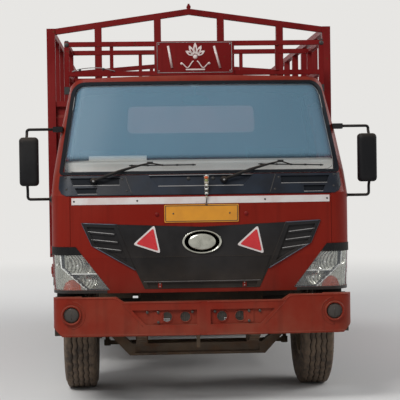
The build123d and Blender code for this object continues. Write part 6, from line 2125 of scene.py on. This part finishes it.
def striped_boards():
    shape = Shape()
    for x in (-0.55, 0.55):
        turn = facing_back(x, BAR_BACK, 0.485)
        for k in range(-4, 4):
            low, high = k * BAND, k * BAND + BAND
            outline = [(low, -BAND_HIGH), (high, -BAND_HIGH), (high + BAND_LEAN, BAND_HIGH),
                       (low + BAND_LEAN, BAND_HIGH)]
            shape.prism(outline, 0.0, 0.0014, k % 2, turn)
    return shape.make("striped_boards", "chassis", "reflector_red", "band_white")


tell(tail_lamps(), rear_plate(), striped_boards())

# %% [markdown]
# The tailgate hangs on hinges and is held by a sliding bolt at each end, with a keeper on the corner post.
# Bolt and keeper belong to two bodies, so they are two pieces: the one goes down with the flap, and the
# other stays. A gap between them lets the flap move.

# %% Latches of the tailgate
LATCH = (0.985, REAR - 0.002, 1.530)
KEEPER = (1.092, REAR - 0.001, 1.530)
LATCH_PLATE = rounded(0.050, 0.030, 0.006)
KEEPER_PLATE = rounded(0.022, 0.030, 0.004)
LATCH_GRIP = ((0, 0.004, 0.012), (0, -0.018, 0.018), (0, -0.036, 0.015))
KEEPER_LOOP = ((0, -0.016, 0.002), (0, -0.016, 0.020), (0, 0.020, 0.020), (0, 0.020, 0.002))
GATE_HINGES = (-0.850, 0.0, 0.850)
GATE_BOLT_HEIGHTS = (1.060, 1.130, 1.180)
tailgate_face = surface_of("tailgate")


def on_tailgate(x, z):
    hit = tailgate_face.ray_cast(Vector((x, REAR + FAR, z)), Vector((0, -1, 0)))[0]
    return facing_back(x, hit.y, z)


def latch(shape, turn):
    """A plate with the sliding bolt across it, and its grip."""
    shape.prism(LATCH_PLATE, 0.0, 0.005, 0, turn)
    shape.tube([turn @ Vector((a, 0.004, 0.012)) for a in (-0.040, 0.040)], 0.008, 1, 12)
    shape.tube([turn @ Vector(point) for point in LATCH_GRIP], 0.005, 1, 8)
    for a in (-0.040, 0.040):
        for b in (-0.020, 0.022):
            bolt(shape, turn @ Matrix.Translation((a, b, 0.005)), 0.005, 1)


def keeper(shape, turn):
    shape.prism(KEEPER_PLATE, 0.0, 0.005, 0, turn)
    shape.tube(bent([turn @ Vector(point) for point in KEEPER_LOOP], 0.006), 0.004, 1, 8)
    for b in (-0.024, 0.026):
        bolt(shape, turn @ Matrix.Translation((0.010, b, 0.005)), 0.004, 1)


def latches():
    gate, posts = Shape(), Shape()
    for side in (-1, 1):
        latch(gate, facing_back(side * LATCH[0], *LATCH[1:]))
        keeper(posts, facing_back(side * KEEPER[0], *KEEPER[1:]))
    for x in GATE_HINGES:
        for dx in (-0.022, 0.022):
            for z in GATE_BOLT_HEIGHTS:
                bolt(gate, on_tailgate(x + dx, z), 0.006, 1)
    return [gate.make("latch_bolts", "tailgate", "cage_maroon", "engine_grey"),
            posts.make("latch_keepers", "chassis", "cage_maroon", "engine_grey")]


tell(*latches())

# %% [markdown]
# Steel bands hold the fuel tank and the air tanks, clips close the battery box, and the filler neck has a
# ribbed cap. The tanks are solids already. The bands only have to lie a little proud of them.

# %% Fuel cap, straps and battery clips
FILLER = (-0.944, FRONT + 2.200, 0.700)
FUEL_CAP = ((0, 0.014), (0.026, 0.013), (0.044, 0.008), (0.047, 0.002), (0.047, -0.010), (0.042, -0.012))
CAP_RIBS = 12
TANK_MIDDLE = (-0.700, 0.610)
TANK_BANDS = (2.230, 2.730)
TANK_BAND = rounded(0.2215, 0.1915, 0.062, 6)
BAND_REACH = 0.018
CLIPS = (2.080, 2.440)
CLIP_X, CLIP_Z = 0.829, 0.742
CLIP_SPRING = ((0, 0.030, 0.004), (0, 0.0, 0.012), (0, -0.034, 0.005))
AIR_TANKS = (2.660, 3.160)
AIR_BANDS = (0.090, 0.330)
AIR_MIDDLE = (0.590, 0.640)
AIR_BAND = ((0.1125, -0.014), (0.1145, -0.014), (0.1145, 0.014), (0.1125, 0.014))


def under_fittings():
    shape = Shape()
    # The cap on the filler neck, on the truck's right
    neck = facing_side(*FILLER, -1)
    shape.lathe(FUEL_CAP, 0, neck, 36)
    for k in range(CAP_RIBS):
        rib = neck @ Matrix.Rotation(math.tau * k / CAP_RIBS, 4, "Z")
        shape.box((0.0455, -0.004, -0.008), (0.0495, 0.004, 0.004), 0, rib)
    # Bands round the fuel tank, with a bolt each
    across, up = TANK_MIDDLE
    for y in [FRONT + depth for depth in TANK_BANDS]:
        rings = [[(across + a, y + step, up + b) for a, b in TANK_BAND] for step in (-BAND_REACH, BAND_REACH)]
        shape.skin(rings, 1, True, ends=False)
        bolt(shape, Matrix.Translation((across, y, 0.8015)), 0.008, 1)
    # Clips on the battery box, on the truck's left
    for depth in CLIPS:
        turn = facing_side(CLIP_X, FRONT + depth, CLIP_Z, 1)
        shape.prism(rounded(0.016, 0.046, 0.005), -0.002, 0.004, 1, turn)
        shape.tube([turn @ Vector(point) for point in CLIP_SPRING], 0.004, 1, 8)
    for depth in AIR_TANKS:
        for step in AIR_BANDS:
            ring = Matrix.Translation((AIR_MIDDLE[0], FRONT + depth + step, AIR_MIDDLE[1])) @ UPRIGHT
            shape.lathe(AIR_BAND, 1, ring, 40)
    return shape.make("tank_fittings", "chassis", "black_plastic", "engine_grey")


tell(under_fittings())
